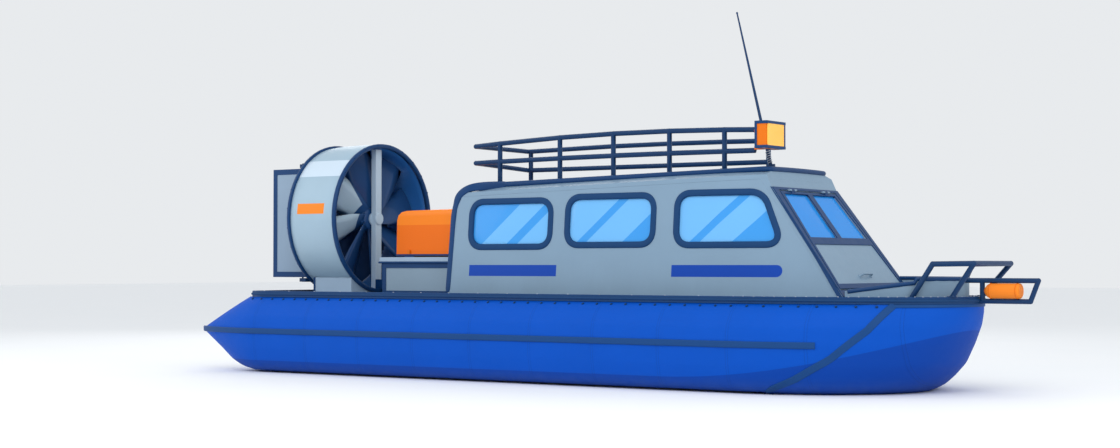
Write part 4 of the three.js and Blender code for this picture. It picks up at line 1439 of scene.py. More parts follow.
@dataclass
class Deck:
    """The platform, the deck with its tread pads, and the gunwale."""

    beam: float = 1.377
    stem: float = 10.862
    shoulder: float = 8.5
    rub_height: float = 1.04
    rub_radius: float = 0.016
    deck_top: float = 1.05
    rail_top: float = 1.08
    pad_rows: tuple[Pair, ...] = ((4.45, 5.2), (5.35, 6.1), (6.25, 7.0), (7.15, 7.9), (8.05, 8.6))
    pad_sides: Pair = (1.12, 1.27)
    # lift and size of a pad's outline at each level
    pad_levels: tuple[Pair, ...] = ((0.0, 1.0), (0.003, 1.0), (0.004, 0.97))
    screw_line: float = 0.034
    screw_pitch: float = 0.45
    screw: tuple[Pair, ...] = ((-0.001, 0.011), (0.003, 0.010), (0.005, 0.004))

    def gunwale_path(self, inset: float) -> list[Pair]:
        """Gives the gunwale's line from stern to stem, as station and offset.

        Args:
            inset: How far the line lies inside the gunwale's edge.

        Returns:
            The line's points.
        """
        beam, reach = self.beam - inset, self.stem - inset - self.shoulder
        turns = spread(0.0, math.pi / 2, 30)
        curve = [(self.shoulder + reach * math.sin(t), beam * math.cos(t)) for t in turns]
        return [(0.888 + inset, 1.12), (1.05, 1.312 - inset), (1.3, beam), *curve]

    def rub_bead(self) -> None:
        """Makes the bead round the gunwale."""
        path = self.gunwale_path(0.0)
        line = [at(x, -y, self.rub_height) for x, y in path]
        line += [at(x, y, self.rub_height) for x, y in reversed(path[:-1])]
        Piece("gunwale_rub_bead", RUBBER).tube(line, self.rub_radius, 10, loop=True).make()

    def gunwale_screws(self) -> None:
        """Makes the screws along the gunwale."""
        screws = Piece("gunwale_screws", STEEL)
        middle = self.gunwale_path(self.screw_line)
        for sign in SIDES.values():
            for here, there in zip(middle[2:], middle[3:]):
                count = max(2, round(math.dist(here, there) / self.screw_pitch) + 1)
                for share in spread(0.0, 1.0, count)[:-1]:
                    x, y = (slide(ends, share) for ends in zip(here, there))
                    screws.turned(at(x, sign * y, self.rail_top), UP, self.screw, 12)
        screws.make()

    def tread_pads(self) -> None:
        """Makes the non-slip pads on the side decks."""
        pads = Piece("deck_tread_pads", SKID)
        near, far = self.pad_sides
        for sign in SIDES.values():
            for low, high in self.pad_rows:
                outline = rounded([(low, near), (high, near), (high, far), (low, far)], 0.04)
                centre = Vector(((low + high) / 2, (near + far) / 2))
                rows = []
                for lift, size in self.pad_levels:
                    z = self.deck_top - 0.0005 + lift
                    rows.append([at(p.x, sign * p.y, z) for p in scaled(outline, centre, size)])
                pads.skin(rows)
        pads.make()

    def build(self) -> None:
        """Builds the deck's fittings."""
        paint(DECK, "hull_platform", "deck", bevel=0.002)
        paint(NAVY, "gunwale_rail", bevel=0.006)
        self.rub_bead()
        self.gunwale_screws()
        self.tread_pads()


@dataclass
class CabinShell:
    """The cabin's panels, side windows, edge mouldings and rear wall."""

    roof_rear: Pair = (4.605, 2.409)
    roof_front: Pair = (8.740, 2.528)
    # station and height along the middle of the rear post, from the deck up to the roof
    rear_edge: tuple[Pair, ...] = (
        (4.197, 1.056), (4.200, 1.188), (4.208, 1.400), (4.220, 1.800), (4.224, 2.076), (4.240, 2.150),
        (4.254, 2.220), (4.266, 2.270), (4.288, 2.315), (4.326, 2.350), (4.385, 2.385), (4.475, 2.418),
        (4.580, 2.436), (4.680, 2.445), (4.780, 2.448), (4.900, 2.450),
    )
    # stations between which the post's head turns in towards the roof's moulding
    post_turn: Pair = (4.475, 4.900)
    post_half: float = 0.036
    post_overlap: float = 0.044
    post_gap: float = 0.022
    post_proud: float = 0.012
    post_depth: float = 0.060
    moulding: float = 0.034
    shoulder_half: float = 0.70
    moulding_ends: Pair = (4.86, 8.56)
    # station and height of the moulding's middle over the front crest
    crest: Pair = (8.609, 2.537)
    crest_fall: float = 0.006
    crest_radius: float = 0.031
    # height of the side mouldings over the shoulder, at the rear and at the front, and their radii there
    shoulder_rise: Pair = (0.022, 0.008)
    shoulder_radius: Pair = (0.042, 0.034)
    # window corners as station and height, from the lower rear one
    windows: tuple[tuple[str, tuple[Pair, ...]], ...] = (
        ("rear", ((4.550, 1.684), (4.550, 2.190), (5.708, 2.190), (5.708, 1.684))),
        ("middle", ((6.020, 1.700), (6.020, 2.221), (7.188, 2.221), (7.188, 1.700))),
        ("front", ((7.565, 1.692), (7.565, 2.235), (8.590, 2.235), (8.830, 1.692))),
    )
    corner: float = 0.150
    gasket: tuple[Pair, ...] = (
        (-0.006, -0.020), (-0.006, 0.006), (0.000, 0.013), (0.012, 0.017), (0.040, 0.016), (0.062, 0.012),
        (0.070, 0.005), (0.071, -0.004),
    )

    # places behind the crest's corner that the moulding's middle runs through, from station and side
    crest_turn: tuple[Pair, ...] = ((0.020, 0.006), (0.006, 0.024), (0.0, 0.055))
    louvre_ends: Pair = (1.92, 2.16)
    louvre_half: Triple = (0.004, 0.32, 0.018)
    grab_ends: Pair = (1.45, 1.95)
    grab_side: float = 0.72

    def roof_line(self, x: float) -> float:
        """Gives the height of the roof's shoulder at a station."""
        (x0, z0), (x1, z1) = self.roof_rear, self.roof_front
        return z0 + (z1 - z0) * (x - x0) / (x1 - x0)

    def seal_windows(self) -> None:
        """Makes a rubber seal round each side window."""
        skin = Skin("cabin_side_starboard")
        for name, corners in self.windows:
            outline = finer(rounded(corners, self.corner, 12), 0.06)
            rails = []
            for (x, z), out in zip(outline, outward(outline)):
                start = at(x + out.x * 0.01, -2.0, z + out.y * 0.01)
                point, normal = skin.hit(start, TO_PORT)
                away = Vector((out.x, 0, out.y))
                away = (away - normal * away.dot(normal)).normalized()
                rails.append((point - away * 0.01, away, normal))
            for side, sign in SIDES.items():
                seal = Piece(f"window_seal_{name}_{side}", RUBBER)
                seal.sweep(to_side(rails, sign), self.gasket, loop=True).make(smooth=60)

    def corner_posts(self) -> None:
        """Makes the navy post along each side's rear edge, from the deck up and round onto the roof."""
        skin = Skin("cabin_side_starboard", "cabin_roof")
        route = [Vector(p) for p in self.rear_edge]
        turn_start, turn_end = self.post_turn
        rows = []
        for k, point in enumerate(route):
            along = (route[min(k + 1, len(route) - 1)] - route[max(k - 1, 0)]).normalized()
            out = Vector((-along.y, along.x))
            turn = min(1.0, max(0.0, (point.x - turn_start) / (turn_end - turn_start)))
            reach = self.post_overlap + self.post_gap * math.exp(-(((point.y - 2.33) / 0.12) ** 2))
            reach += 0.030 * math.sin(math.pi * turn)
            inner = point - out * reach
            face, _ = skin.hit(at(inner.x, -2.0, min(inner.y, 2.30)), TO_PORT)
            near = face.y - self.post_proud
            near += (-self.shoulder_half - self.moulding - near) * turn * turn * (3 - 2 * turn)
            outer, far = self.post_half, near + self.post_proud + self.post_depth
            section = [
                (-reach, far), (-reach, near + 0.008), (-reach + 0.008, near),
                (outer - 0.018, near), (outer - 0.005, near + 0.006), (outer, near + 0.020),
                (outer, far - 0.020), (outer - 0.014, far),
            ]
            rows.append([at(point.x + out.x * a, y, point.y + out.y * a) for a, y in section])
        for side, sign in SIDES.items():
            post = Piece(f"cabin_corner_post_{side}", NAVY)
            post.skin(to_side(rows, sign)).make(smooth=40, subdivide=1)

    def roof_moulding(self) -> None:
        """Makes the navy moulding along the roof's shoulders and over its front crest."""
        half = self.shoulder_half
        path: list[Vector] = []
        sizes: list[float] = []
        for share in spread(0.0, 1.0, 26):
            x = slide(self.moulding_ends, share)
            path.append(at(x, -half, self.roof_line(x) + slide(self.shoulder_rise, share)))
            sizes.append(slide(self.shoulder_radius, share))
        front, height = self.crest
        path += [at(front - x, y - half, height - self.crest_fall) for x, y in self.crest_turn]
        for y in spread(-half + 0.12, 0.0, 8):
            path.append(at(front, y, height - self.crest_fall * (y / half) ** 2))
        sizes += [self.crest_radius] * (len(path) - len(sizes))
        path += to_side(path[-2::-1], 1)
        sizes += sizes[-2::-1]
        last = len(path) - 1
        moulding = Piece("roof_edge_moulding", NAVY)
        moulding.tube(path, lambda share: sizes[round(share * last)], 14).make()

    def rear_wall(self) -> None:
        """Makes the rear wall's louvre and grab rails."""
        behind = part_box("cabin_rear_wall")[0].x - 1
        skin = Skin("cabin_rear_wall")
        louvre = Piece("rear_wall_louvre", NAVY)
        tilt = Matrix.Rotation(math.radians(35), 3, "Y")
        for z in spread(*self.louvre_ends, 7):
            point, normal = skin.hit(Vector((behind, 0.0, z)), AHEAD)
            louvre.beside(point + normal * 0.012, Vector(self.louvre_half), tilt)
        louvre.make(bevel=0.0015)
        rails = Piece("rear_wall_grab_rails", STEEL)
        out, bend = AHEAD * -0.07, UP * 0.03
        for y in (-self.grab_side, self.grab_side):
            low, high = (skin.hit(Vector((behind, y, z)), AHEAD)[0] for z in self.grab_ends)
            path = [low, low + out * 0.7, low + out + bend, high + out - bend, high + out * 0.7, high]
            rails.tube(path, 0.013, 12)
            for end in (low, high):
                rails.turned(end, -AHEAD, [(-0.002, 0.034), (0.006, 0.034), (0.008, 0.03)], 20)
        rails.make()

    def build(self) -> None:
        """Builds the cabin's outside."""
        paint(CABIN, "cabin_side_starboard", "cabin_side_port", bevel=0.004)
        paint(ROOF, "cabin_roof", "cabin_rear_wall", "cabin_front_frame", bevel=0.004)
        glass = [f"side_glass_{name}_{side}" for name, _ in self.windows for side in SIDES]
        paint(GLASS, *glass, bevel=0.0)
        self.seal_windows()
        self.corner_posts()
        self.roof_moulding()
        self.rear_wall()


@dataclass
class BowHatch:
    """The hatch with its screen, the ladder frame on it and the surround beside it."""

    foot: Pair = (9.661, 1.050)
    brow: Pair = (8.700, 2.330)
    sill: float = 1.158
    head: float = 2.277
    half_sill: float = 0.864
    half_head: float = 0.702
    border_sill: float = 0.036
    border_head: float = 0.064
    side_foot: float = 0.060
    side_top: float = 0.010
    mid_bar: Pair = (1.660, 1.738)
    pane_top: float = 2.245
    mullion: float = 0.056
    proud: float = 0.012
    handle_height: float = 1.30

    def on_screen(self, y: float, z: float, lift: float = 0.0) -> Vector:
        """Gives a point on the sloping front, or a little above it.

        Args:
            y: Its offset to port.
            z: Its height.
            lift: How far it is moved out of the front.

        Returns:
            The point.
        """
        (x0, z0), (x1, z1) = self.foot, self.brow
        slope = (x1 - x0) / (z1 - z0)
        out = Vector((1, 0, -slope)).normalized()
        return at(x0 + slope * (z - z0), y, z) + out * lift

    def share(self, z: float) -> float:
        """Gives a height as a share of the way from the sill to the head."""
        return (z - self.sill) / (self.head - self.sill)

    def half(self, z: float) -> float:
        """Gives half the hatch's width at a height."""
        return slide((self.half_sill, self.half_head), self.share(z))

    def ladder(self) -> None:
        """Makes the navy frame on the hatch, open at the panes and the lower panel."""
        rows = []
        for z in (self.sill + 0.004, self.sill + 0.058, *self.mid_bar, self.pane_top, self.head - 0.004):
            edge = self.half(z) - 0.004
            inner = edge - slide((self.border_sill, self.border_head), self.share(z))
            rows.append((z, [-edge, -inner, -self.mullion, self.mullion, inner, edge]))
        ladder = Piece("hatch_frame", NAVY, Body.HATCH)
        open_cells = ((1, 1), (1, 2), (1, 3), (3, 1), (3, 3))
        ladder.frame(rows, (-0.001, self.proud), self.on_screen, open_cells).make(bevel=0.004)

    def surround(self) -> None:
        """Makes the navy frame fixed round the hatch."""
        skin = Skin("cabin_front_frame", "cabin_side_starboard")
        ends = []
        for z in (1.075, 2.318):
            point, _ = skin.hit(self.on_screen(-2.0, z) - AHEAD * 0.03, TO_PORT)
            ends.append((z, -point.y - 0.004))
        (z0, y0), (z1, y1) = ends
        rows = []
        for z in (z0, self.sill - 0.012, self.head + 0.012, z1):
            edge, inner = y0 + (y1 - y0) * (z - z0) / (z1 - z0), self.half(z) + 0.014
            rows.append((z, [-edge, -inner, inner, edge]))
        surround = Piece("hatch_surround", NAVY)
        surround.frame(rows, (-0.001, self.proud), self.on_screen).make(bevel=0.004)

    def side_mouldings(self) -> None:
        """Makes the navy moulding on each side of the cabin beside the front's edge."""
        skin = Skin("cabin_side_starboard", "cabin_front_frame")
        rows = []
        for z in spread(1.075, 2.325, 16):
            front = self.on_screen(-2.0, z) - AHEAD * 0.003
            width = slide((self.side_foot, self.side_top), (z - 1.05) / (2.33 - 1.05))
            rows.append([skin.hit(front - AHEAD * width * k, TO_PORT) for k in (1.0, 0.5, 0.02)])
        lifts = (-0.004, self.proud)
        layers = [[[point + normal * lift for point, normal in row] for row in rows] for lift in lifts]
        for side, sign in SIDES.items():
            moulding = Piece(f"screen_side_moulding_{side}", NAVY)
            moulding.lattice(*to_side(layers, sign)).make(bevel=0.003)

    def handle(self) -> None:
        """Makes the hatch's handle, in the cabin's paint."""
        grip = Piece("hatch_handle", ROOF, Body.HATCH)
        z = self.handle_height
        ends = [self.on_screen(y, z) for y in (-0.14, 0.14)]
        raised = [self.on_screen(y, z, 0.045) for y in (-0.12, 0.12)]
        grip.tube([ends[0], *raised, ends[1]], 0.011, 12)
        out = (self.on_screen(0, z, 1) - self.on_screen(0, z)).normalized()
        for end in ends:
            grip.turned(end, out, [(-0.002, 0.026), (0.005, 0.026), (0.007, 0.022)], 18)
        grip.make()

    def build(self) -> None:
        """Builds the hatch's fittings."""
        paint(HATCH, "bow_hatch", bevel=0.003)
        paint(SCREEN, "hatch_glass_starboard", "hatch_glass_port", bevel=0.0)
        self.ladder()
        self.surround()
        self.side_mouldings()
        self.handle()


@dataclass
class Foredeck:
    """The locker, its edge moulding, and the bow's rail, loop and fender."""

    beam: float = 1.075
    stem: float = 10.700
    shoulder: float = 8.5
    heel: float = 1.131
    ramp_start: float = 9.6
    ramp_end: float = 10.330
    ramp_top: float = 1.240
    lip: float = 10.360
    top: float = 1.284
    moulding: float = 0.024
    # the port edge is drawn level, from the cabin's front to the lip
    level: float = 1.284
    level_start: float = 9.500
    level_half: float = 0.904
    board: float = 0.022
    # feet of the rail on the port side: station, offset and height
    rail_posts: tuple[Triple, ...] = ((10.328, 0.637, 1.05), (10.712, 0.425, 1.08))
    mat_ends: Pair = (9.86, 10.32)
    mat_half: float = 0.42
    fender_axis: float = 1.1435
    fender_radius: float = 0.085
    collar: tuple[Pair, ...] = ((0.0, -0.006), (0.003, 0.0035), (0.011, 0.0035), (0.014, -0.006))

    def edge(self, x: float) -> float:
        """Gives half the locker's width at a station."""
        share = (x - self.shoulder) / (self.stem - self.shoulder)
        return self.beam * math.sqrt(max(0.0, 1 - share * share))

    def ramp(self, x: float) -> float:
        """Gives the locker's height at a station."""
        share = (x - self.ramp_start) / (self.ramp_end - self.ramp_start)
        return self.top if x >= self.lip else slide((self.heel, self.ramp_top), min(1.0, share))

    def screen_foot(self, x: float) -> float:
        """Gives the height at which the cabin's sloping front stands over a station."""
        (x0, z0), (x1, z1) = BowHatch.foot, BowHatch.brow
        return z0 + (z1 - z0) * (x - x0) / (x1 - x0)

    def port_board(self) -> None:
        """Makes the board under the level moulding on the port side."""
        drop = self.moulding * 0.45
        layers: list[list[list[Vector]]] = [[], []]
        for x in spread(self.level_start, self.ramp_end, 14):
            outer = min(self.edge(x), self.level_half) - drop
            bottom = max(self.ramp(x), self.screen_foot(x)) - 0.012
            for layer, y in zip(layers, (outer + self.board / 2, outer - self.board / 2)):
                layer.append([at(x, y, z) for z in (bottom, self.level - drop)])
        Piece("locker_port_board", ROOF).lattice(*layers).make(bevel=0.002)

    def edge_moulding(self) -> None:
        """Makes the navy moulding along the locker's upper edge, sloping to starboard and level to port."""
        drop, reach = self.moulding * 0.45, self.stem - self.shoulder
        start = math.asin((self.lip + 0.004 - self.shoulder) / reach)
        half = [(x, self.edge(x)) for x in spread(9.69, 10.34, 12)]
        for t in spread(start, math.pi / 2, 12):
            half.append((self.shoulder + reach * math.sin(t), self.beam * math.cos(t)))
        level = [(self.level_start, self.level_half), *half]
        line = [at(x - drop * (x > 10.5), drop - y, self.ramp(x) - drop) for x, y in half]
        line += [at(x - drop * (x > 10.5), y - drop, self.level - drop) for x, y in level[-2::-1]]
        Piece("locker_edge_moulding", NAVY).tube(line, self.moulding, 12).make()

    def rail_feet(self) -> None:
        """Makes the bolted feet of the bow rail."""
        feet = Piece("bow_rail_feet", TUBE)
        bolts = Piece("bow_rail_bolts", STEEL)
        for sign in SIDES.values():
            for x, y, z in self.rail_posts:
                centre = at(x, sign * y, z)
                feet.turned(centre, UP, [(-0.001, 0.052), (0.007, 0.052), (0.009, 0.047)], 28)
                for turn in spokes(4, math.pi / 4):
                    spot = centre + Vector((math.cos(turn), math.sin(turn), 0)) * 0.042 + UP * 0.008
                    bolts.turned(spot, UP, [(-0.002, 0.006), (0.004, 0.005)], 6)
        feet.make()
        bolts.make()

    def fender_fittings(self) -> None:
        """Makes the fender's collars and the plug in its aft end."""
        low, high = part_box("bow_fender")
        collars = Piece("fender_collars", LAMP)
        for start in (low.x + 0.060, high.x - 0.050):
            middle = Vector((start, 0, self.fender_axis))
            size = self.fender_radius
            rings = [circle(middle + AHEAD * a, TO_PORT, UP, size + lift, 40) for a, lift in self.collar]
            collars.skin(rings, loop=True)
        plug = Vector((low.x - 0.004, 0, self.fender_axis))
        collars.turned(plug, AHEAD, [(0.0, 0.030), (0.006, 0.034)], 24)
        collars.make()

    def step_mat(self) -> None:
        """Makes the ribs of the mat in the step well."""
        mat = Piece("step_mat", SKID)
        for x in spread(*self.mat_ends, 8):
            mat.block(at(x - 0.022, -self.mat_half, 1.115), at(x + 0.022, self.mat_half, 1.121))
        mat.make(bevel=0.002)

    def build(self) -> None:
        """Builds the foredeck."""
        paint(ROOF, "foredeck_locker", bevel=0.004)
        paint(TUBE, "bow_rail", "bow_loop", bevel=0.0)
        paint(FENDER, "bow_fender", bevel=0.008)
        self.edge_moulding()
        self.port_board()
        self.rail_feet()
        self.fender_fittings()
        self.step_mat()


@dataclass
class RoofGear:
    """The rack, the mast and the lamp."""

    lamp_low: Pair = (-0.890, 2.766)
    lamp_high: Pair = (-0.460, 3.072)
    lamp_back: float = 8.532
    frame_width: float = 0.030
    rack_half: float = 0.58
    rack_tube: float = 0.031
    # a post that stands aft of this station is past the flat of the roof
    roof_end: float = 4.5
    # stations of the rack's posts, starboard (-1) and port (1)
    posts: dict[int, tuple[float, ...]] = field(default_factory=lambda: {
        -1: (4.672, 5.601, 6.396, 7.197, 7.953), 1: (4.320, 5.635, 6.486, 7.287, 7.906),
    })
    mast_foot: Triple = (8.495, -0.4, 2.48)
    mast_top: Triple = (8.020, -0.4, 4.412)
    coil_radius: float = 0.026
    coil_rise: float = 0.0022

    def rack_feet(self) -> None:
        """Makes a pad with two bolts under each rack post, and the leg under the post behind the roof."""
        pads = Piece("rack_foot_pads", RUBBER)
        bolts = Piece("rack_foot_bolts", STEEL)
        skin = Skin("cabin_roof", "cabin_rear_wall")
        for sign, stations in self.posts.items():
            for x in stations:
                point, normal = skin.hit(at(x, sign * self.rack_half, 4.0), -UP)
                pads.turned(point, normal, [(-0.004, 0.058), (0.006, 0.058), (0.010, 0.050)], 24)
                along = TO_PORT.cross(normal)
                for step in (-0.046, 0.046):
                    bolts.bolt(point + along * step + normal * 0.008, normal, 0.006)
                if x < self.roof_end:
                    leg = [at(x, sign * self.rack_half, 2.42), point - UP * 0.02]
                    Piece("rack_aft_leg", TUBE).tube(leg, self.rack_tube + 0.0015, 16).make()
        pads.make()
        bolts.make()

    def lamp_frame(self) -> None:
        """Makes the navy frame round the case, open where its side meets the lens."""
        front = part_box("lamp_housing")[1].x
        back = self.lamp_back + STERN - 0.005
        (y0, z0), (y1, z1) = self.lamp_low, self.lamp_high
        width = self.frame_width + 0.004
        columns = bordered(y0 - 0.004, y1 + 0.004, width)
        heights = bordered(z0 - 0.004, z1 + 0.004, width)
        rows = [(z, columns) for z in heights]
        for name, x, depth, open_cells, bevel in (
            ("front", front - 0.020, 0.041, ((1, 0), (1, 1)), 0.005),
            ("back", back, 0.023, ((1, 1),), 0.003),
        ):
            border = Piece(f"lamp_{name}_frame", NAVY)
            border.frame(rows, (x, x + depth), lambda y, z, x: Vector((x, y, z)), open_cells)
            border.make(bevel=bevel)
        rows = [(z, [back, back + self.frame_width, front + 0.021]) for z in heights]
        for side, face, way in (("starboard", y0, -1), ("port", y1, 1)):
            border = Piece(f"lamp_side_frame_{side}", NAVY)
            border.frame(rows, (-0.003, 0.009), lambda x, z, lift: Vector((x, face + way * lift, z)))
            border.make(bevel=0.003)

    def mast_base(self) -> None:
        """Makes the mast's spring base and tip."""
        foot, tip = at(*self.mast_foot), at(*self.mast_top)
        along = (tip - foot).normalized()
        start = foot + along * 0.13
        up = along.cross(TO_PORT)
        path = []
        for k in range(73):
            turn = 2 * math.pi * k / 12
            out = TO_PORT * math.cos(turn) + up * math.sin(turn)
            path.append(start + along * (self.coil_rise * k) + out * self.coil_radius)
        Piece("mast_spring", STEEL).tube(path, 0.005, 8).make(smooth=60)
        ball = [(0.002 * k - 0.02, math.sqrt(max(0.0, 1 - (k / 5 - 1) ** 2)) * 0.0125) for k in range(11)]
        Piece("mast_tip", RUBBER).turned(tip - along * 0.004, along, ball, 16).make(smooth=60)

    def build(self) -> None:
        """Builds what stands on the roof."""
        paint(TUBE, "roof_rack", "antenna_mast", bevel=0.0)
        paint(LAMP, "lamp_housing", bevel=0.003)
        paint(LENS, "lamp_lens", bevel=0.003)
        self.rack_feet()
        self.lamp_frame()
        self.mast_base()


@dataclass
class DuctedFan:
    """The duct with its rings, the fan, the pylon and the rudders."""

    axis: float = 2.06
    outer: float = 1.02
    bore: float = 0.957
    aft: float = 1.45
    fore: float = 2.21
    blades: int = 8
    phase: float = 30.0
    plinth_half: float = 0.635
    plinth_ends: Pair = (1.56, 2.22)
    ring_bolt_count: int = 24
    # station of the blades, distance of their roots from the axis, and heights of the grille bars over it
    disc: float = 1.95
    root: float = 0.150
    bars: tuple[float, ...] = (-0.6, -0.2, 0.2, 0.6)
    clamp_step: float = 0.068
    slats: int = 72
    slat_depth: float = 0.045
    rudder_low: float = 1.258
    rudder_high: float = 2.759
    rudder_spacing: float = 0.45
    rudder_edge: float = 0.075
    # station and half thickness of a rudder, from its trailing edge
    rudder_profile: tuple[Pair, ...] = (
        (0.620, 0.005), (0.695, 0.0076), (1.110, 0.022), (1.225, 0.0189), (1.260, 0.018), (1.300, 0.006),
    )

    def ring_bolts(self) -> None:
        """Makes the bolts round both duct rings."""
        bolts = Piece("duct_ring_bolts", NAVY)
        for turn in spokes(self.ring_bolt_count, math.pi / self.ring_bolt_count):
            out = Vector((0, math.cos(turn), math.sin(turn)))
            for x, way in ((self.fore + 0.050, 1), (self.aft - 0.050, -1)):
                bolts.bolt(at(x, 0, self.axis) + out * (self.outer - 0.012), AHEAD * way, 0.009)
        bolts.make()

    def plinth(self) -> None:
        """Makes the plinth that carries the duct on the deck, with a navy edge at its aft end."""
        reach = self.outer + 0.002
        plinth = Piece("duct_plinth", LEDGE)
        edge = Piece("duct_plinth_edge", NAVY)
        for sign in SIDES.values():
            offsets = spread(0.17, self.plinth_half, 9)
            arc = [(y, self.axis - math.sqrt(reach * reach - y * y)) for y in offsets]
            outline = [(0.17, 1.050), *arc, (self.plinth_half, 1.050)]
            plinth.skin([[at(x, sign * y, z) for y, z in outline] for x in self.plinth_ends])
            corner = [at(self.plinth_ends[0], sign * self.plinth_half, z) for z in (1.052, arc[-1][1])]
            edge.tube(corner, 0.016, 10)
        plinth.make(bevel=0.004)
        edge.make()

    def grille(self) -> None:
        """Makes the upright slats and the bars across the duct's outlet, a navy guard set close enough to
        stand as painted shade behind the fan.
        """
        # partly a guard and partly a dark sheet of painted shade behind the blades
        grille = Piece("duct_outlet_grille_and_shade", NAVY)
        reach = self.bore - 0.001
        low, high = self.aft + 0.03, self.aft + 0.03 + self.slat_depth
        for y in spread(-reach + 0.02, reach - 0.02, self.slats):
            half = math.sqrt(reach * reach - y * y)
            grille.block(at(low, y - 0.0015, self.axis - half), at(high, y + 0.0015, self.axis + half))
        for z in self.bars:
            half = math.sqrt(reach * reach - z * z)
            grille.block(at(low, -half, self.axis + z - 0.004), at(low + 0.02, half, self.axis + z + 0.004))
        grille.make()

    def hub(self) -> None:
        """Makes the blade clamps and the bearing on the pylon."""
        clamps = Piece("fan_blade_clamps", NAVY, Body.FAN)
        for turn in spokes(self.blades, math.pi - math.radians(self.phase)):
            out = Vector((0, math.cos(turn), math.sin(turn)))
            root = at(self.disc, 0, self.axis) + out * self.root
            clamps.turned(root, out, [(-0.012, 0.052), (0.010, 0.052), (0.018, 0.044)], 20)
            for step in (-self.clamp_step, self.clamp_step):
                clamps.bolt(root + AHEAD * step - out * 0.008, out, 0.009)
        clamps.make()
        bearing = Piece("pylon_bearing", POST)
        for x, way, profile in (
            (2.075, -1, [(-0.002, 0.095), (0.022, 0.088), (0.028, 0.045)]),
            (2.160, 1, [(-0.002, 0.085), (0.016, 0.080), (0.024, 0.06)]),
        ):
            bearing.turned(at(x, 0, self.axis), AHEAD * way, profile, 32)
        bearing.make(bevel=0.002)

    def rudder(self, side: str, y: float, body: Body) -> None:
        """Makes the navy frame on both faces of one rudder.

        Args:
            side: The rudder's name.
            y: Its offset to port.
            body: The body that turns it.
        """
        heights = bordered(self.rudder_low, self.rudder_high, self.rudder_edge)
        rows = [(z, self.rudder_profile) for z in heights]
        piece = Piece(f"rudder_frame_{side}", NAVY, body)
        for sign in (-1, 1):
            piece.frame(
                rows, (-0.0005, 0.005), lambda p, z, lift: at(p[0], y + sign * (p[1] + lift), z),
                ((1, 1), (1, 2)),
            )
        piece.make(bevel=0.0015)

    def build(self) -> None:
        """Builds the fan unit's fittings."""
        paint(DUCT, "fan_duct", bevel=0.0)
        paint(NAVY, "duct_front_ring", "duct_rear_ring", bevel=0.0)
        paint(POST, "fan_pylon", bevel=0.006)
        paint(BLADE, "fan_rotor", bevel=0.0)
        paint(TUBE, "rudder_beam_top", "rudder_beam_bottom", bevel=0.003)
        paint(RUDDER, "rudder_starboard", "rudder_middle", "rudder_port", bevel=0.002)
        self.ring_bolts()
        self.plinth()
        self.grille()
        self.hub()
        rudders = (
            ("starboard", -self.rudder_spacing, Body.RUDDER_STARBOARD),
            ("middle", 0.0, Body.RUDDER_MIDDLE),
            ("port", self.rudder_spacing, Body.RUDDER_PORT),
        )
        for side, y, body in rudders:
            self.rudder(side, y, body)


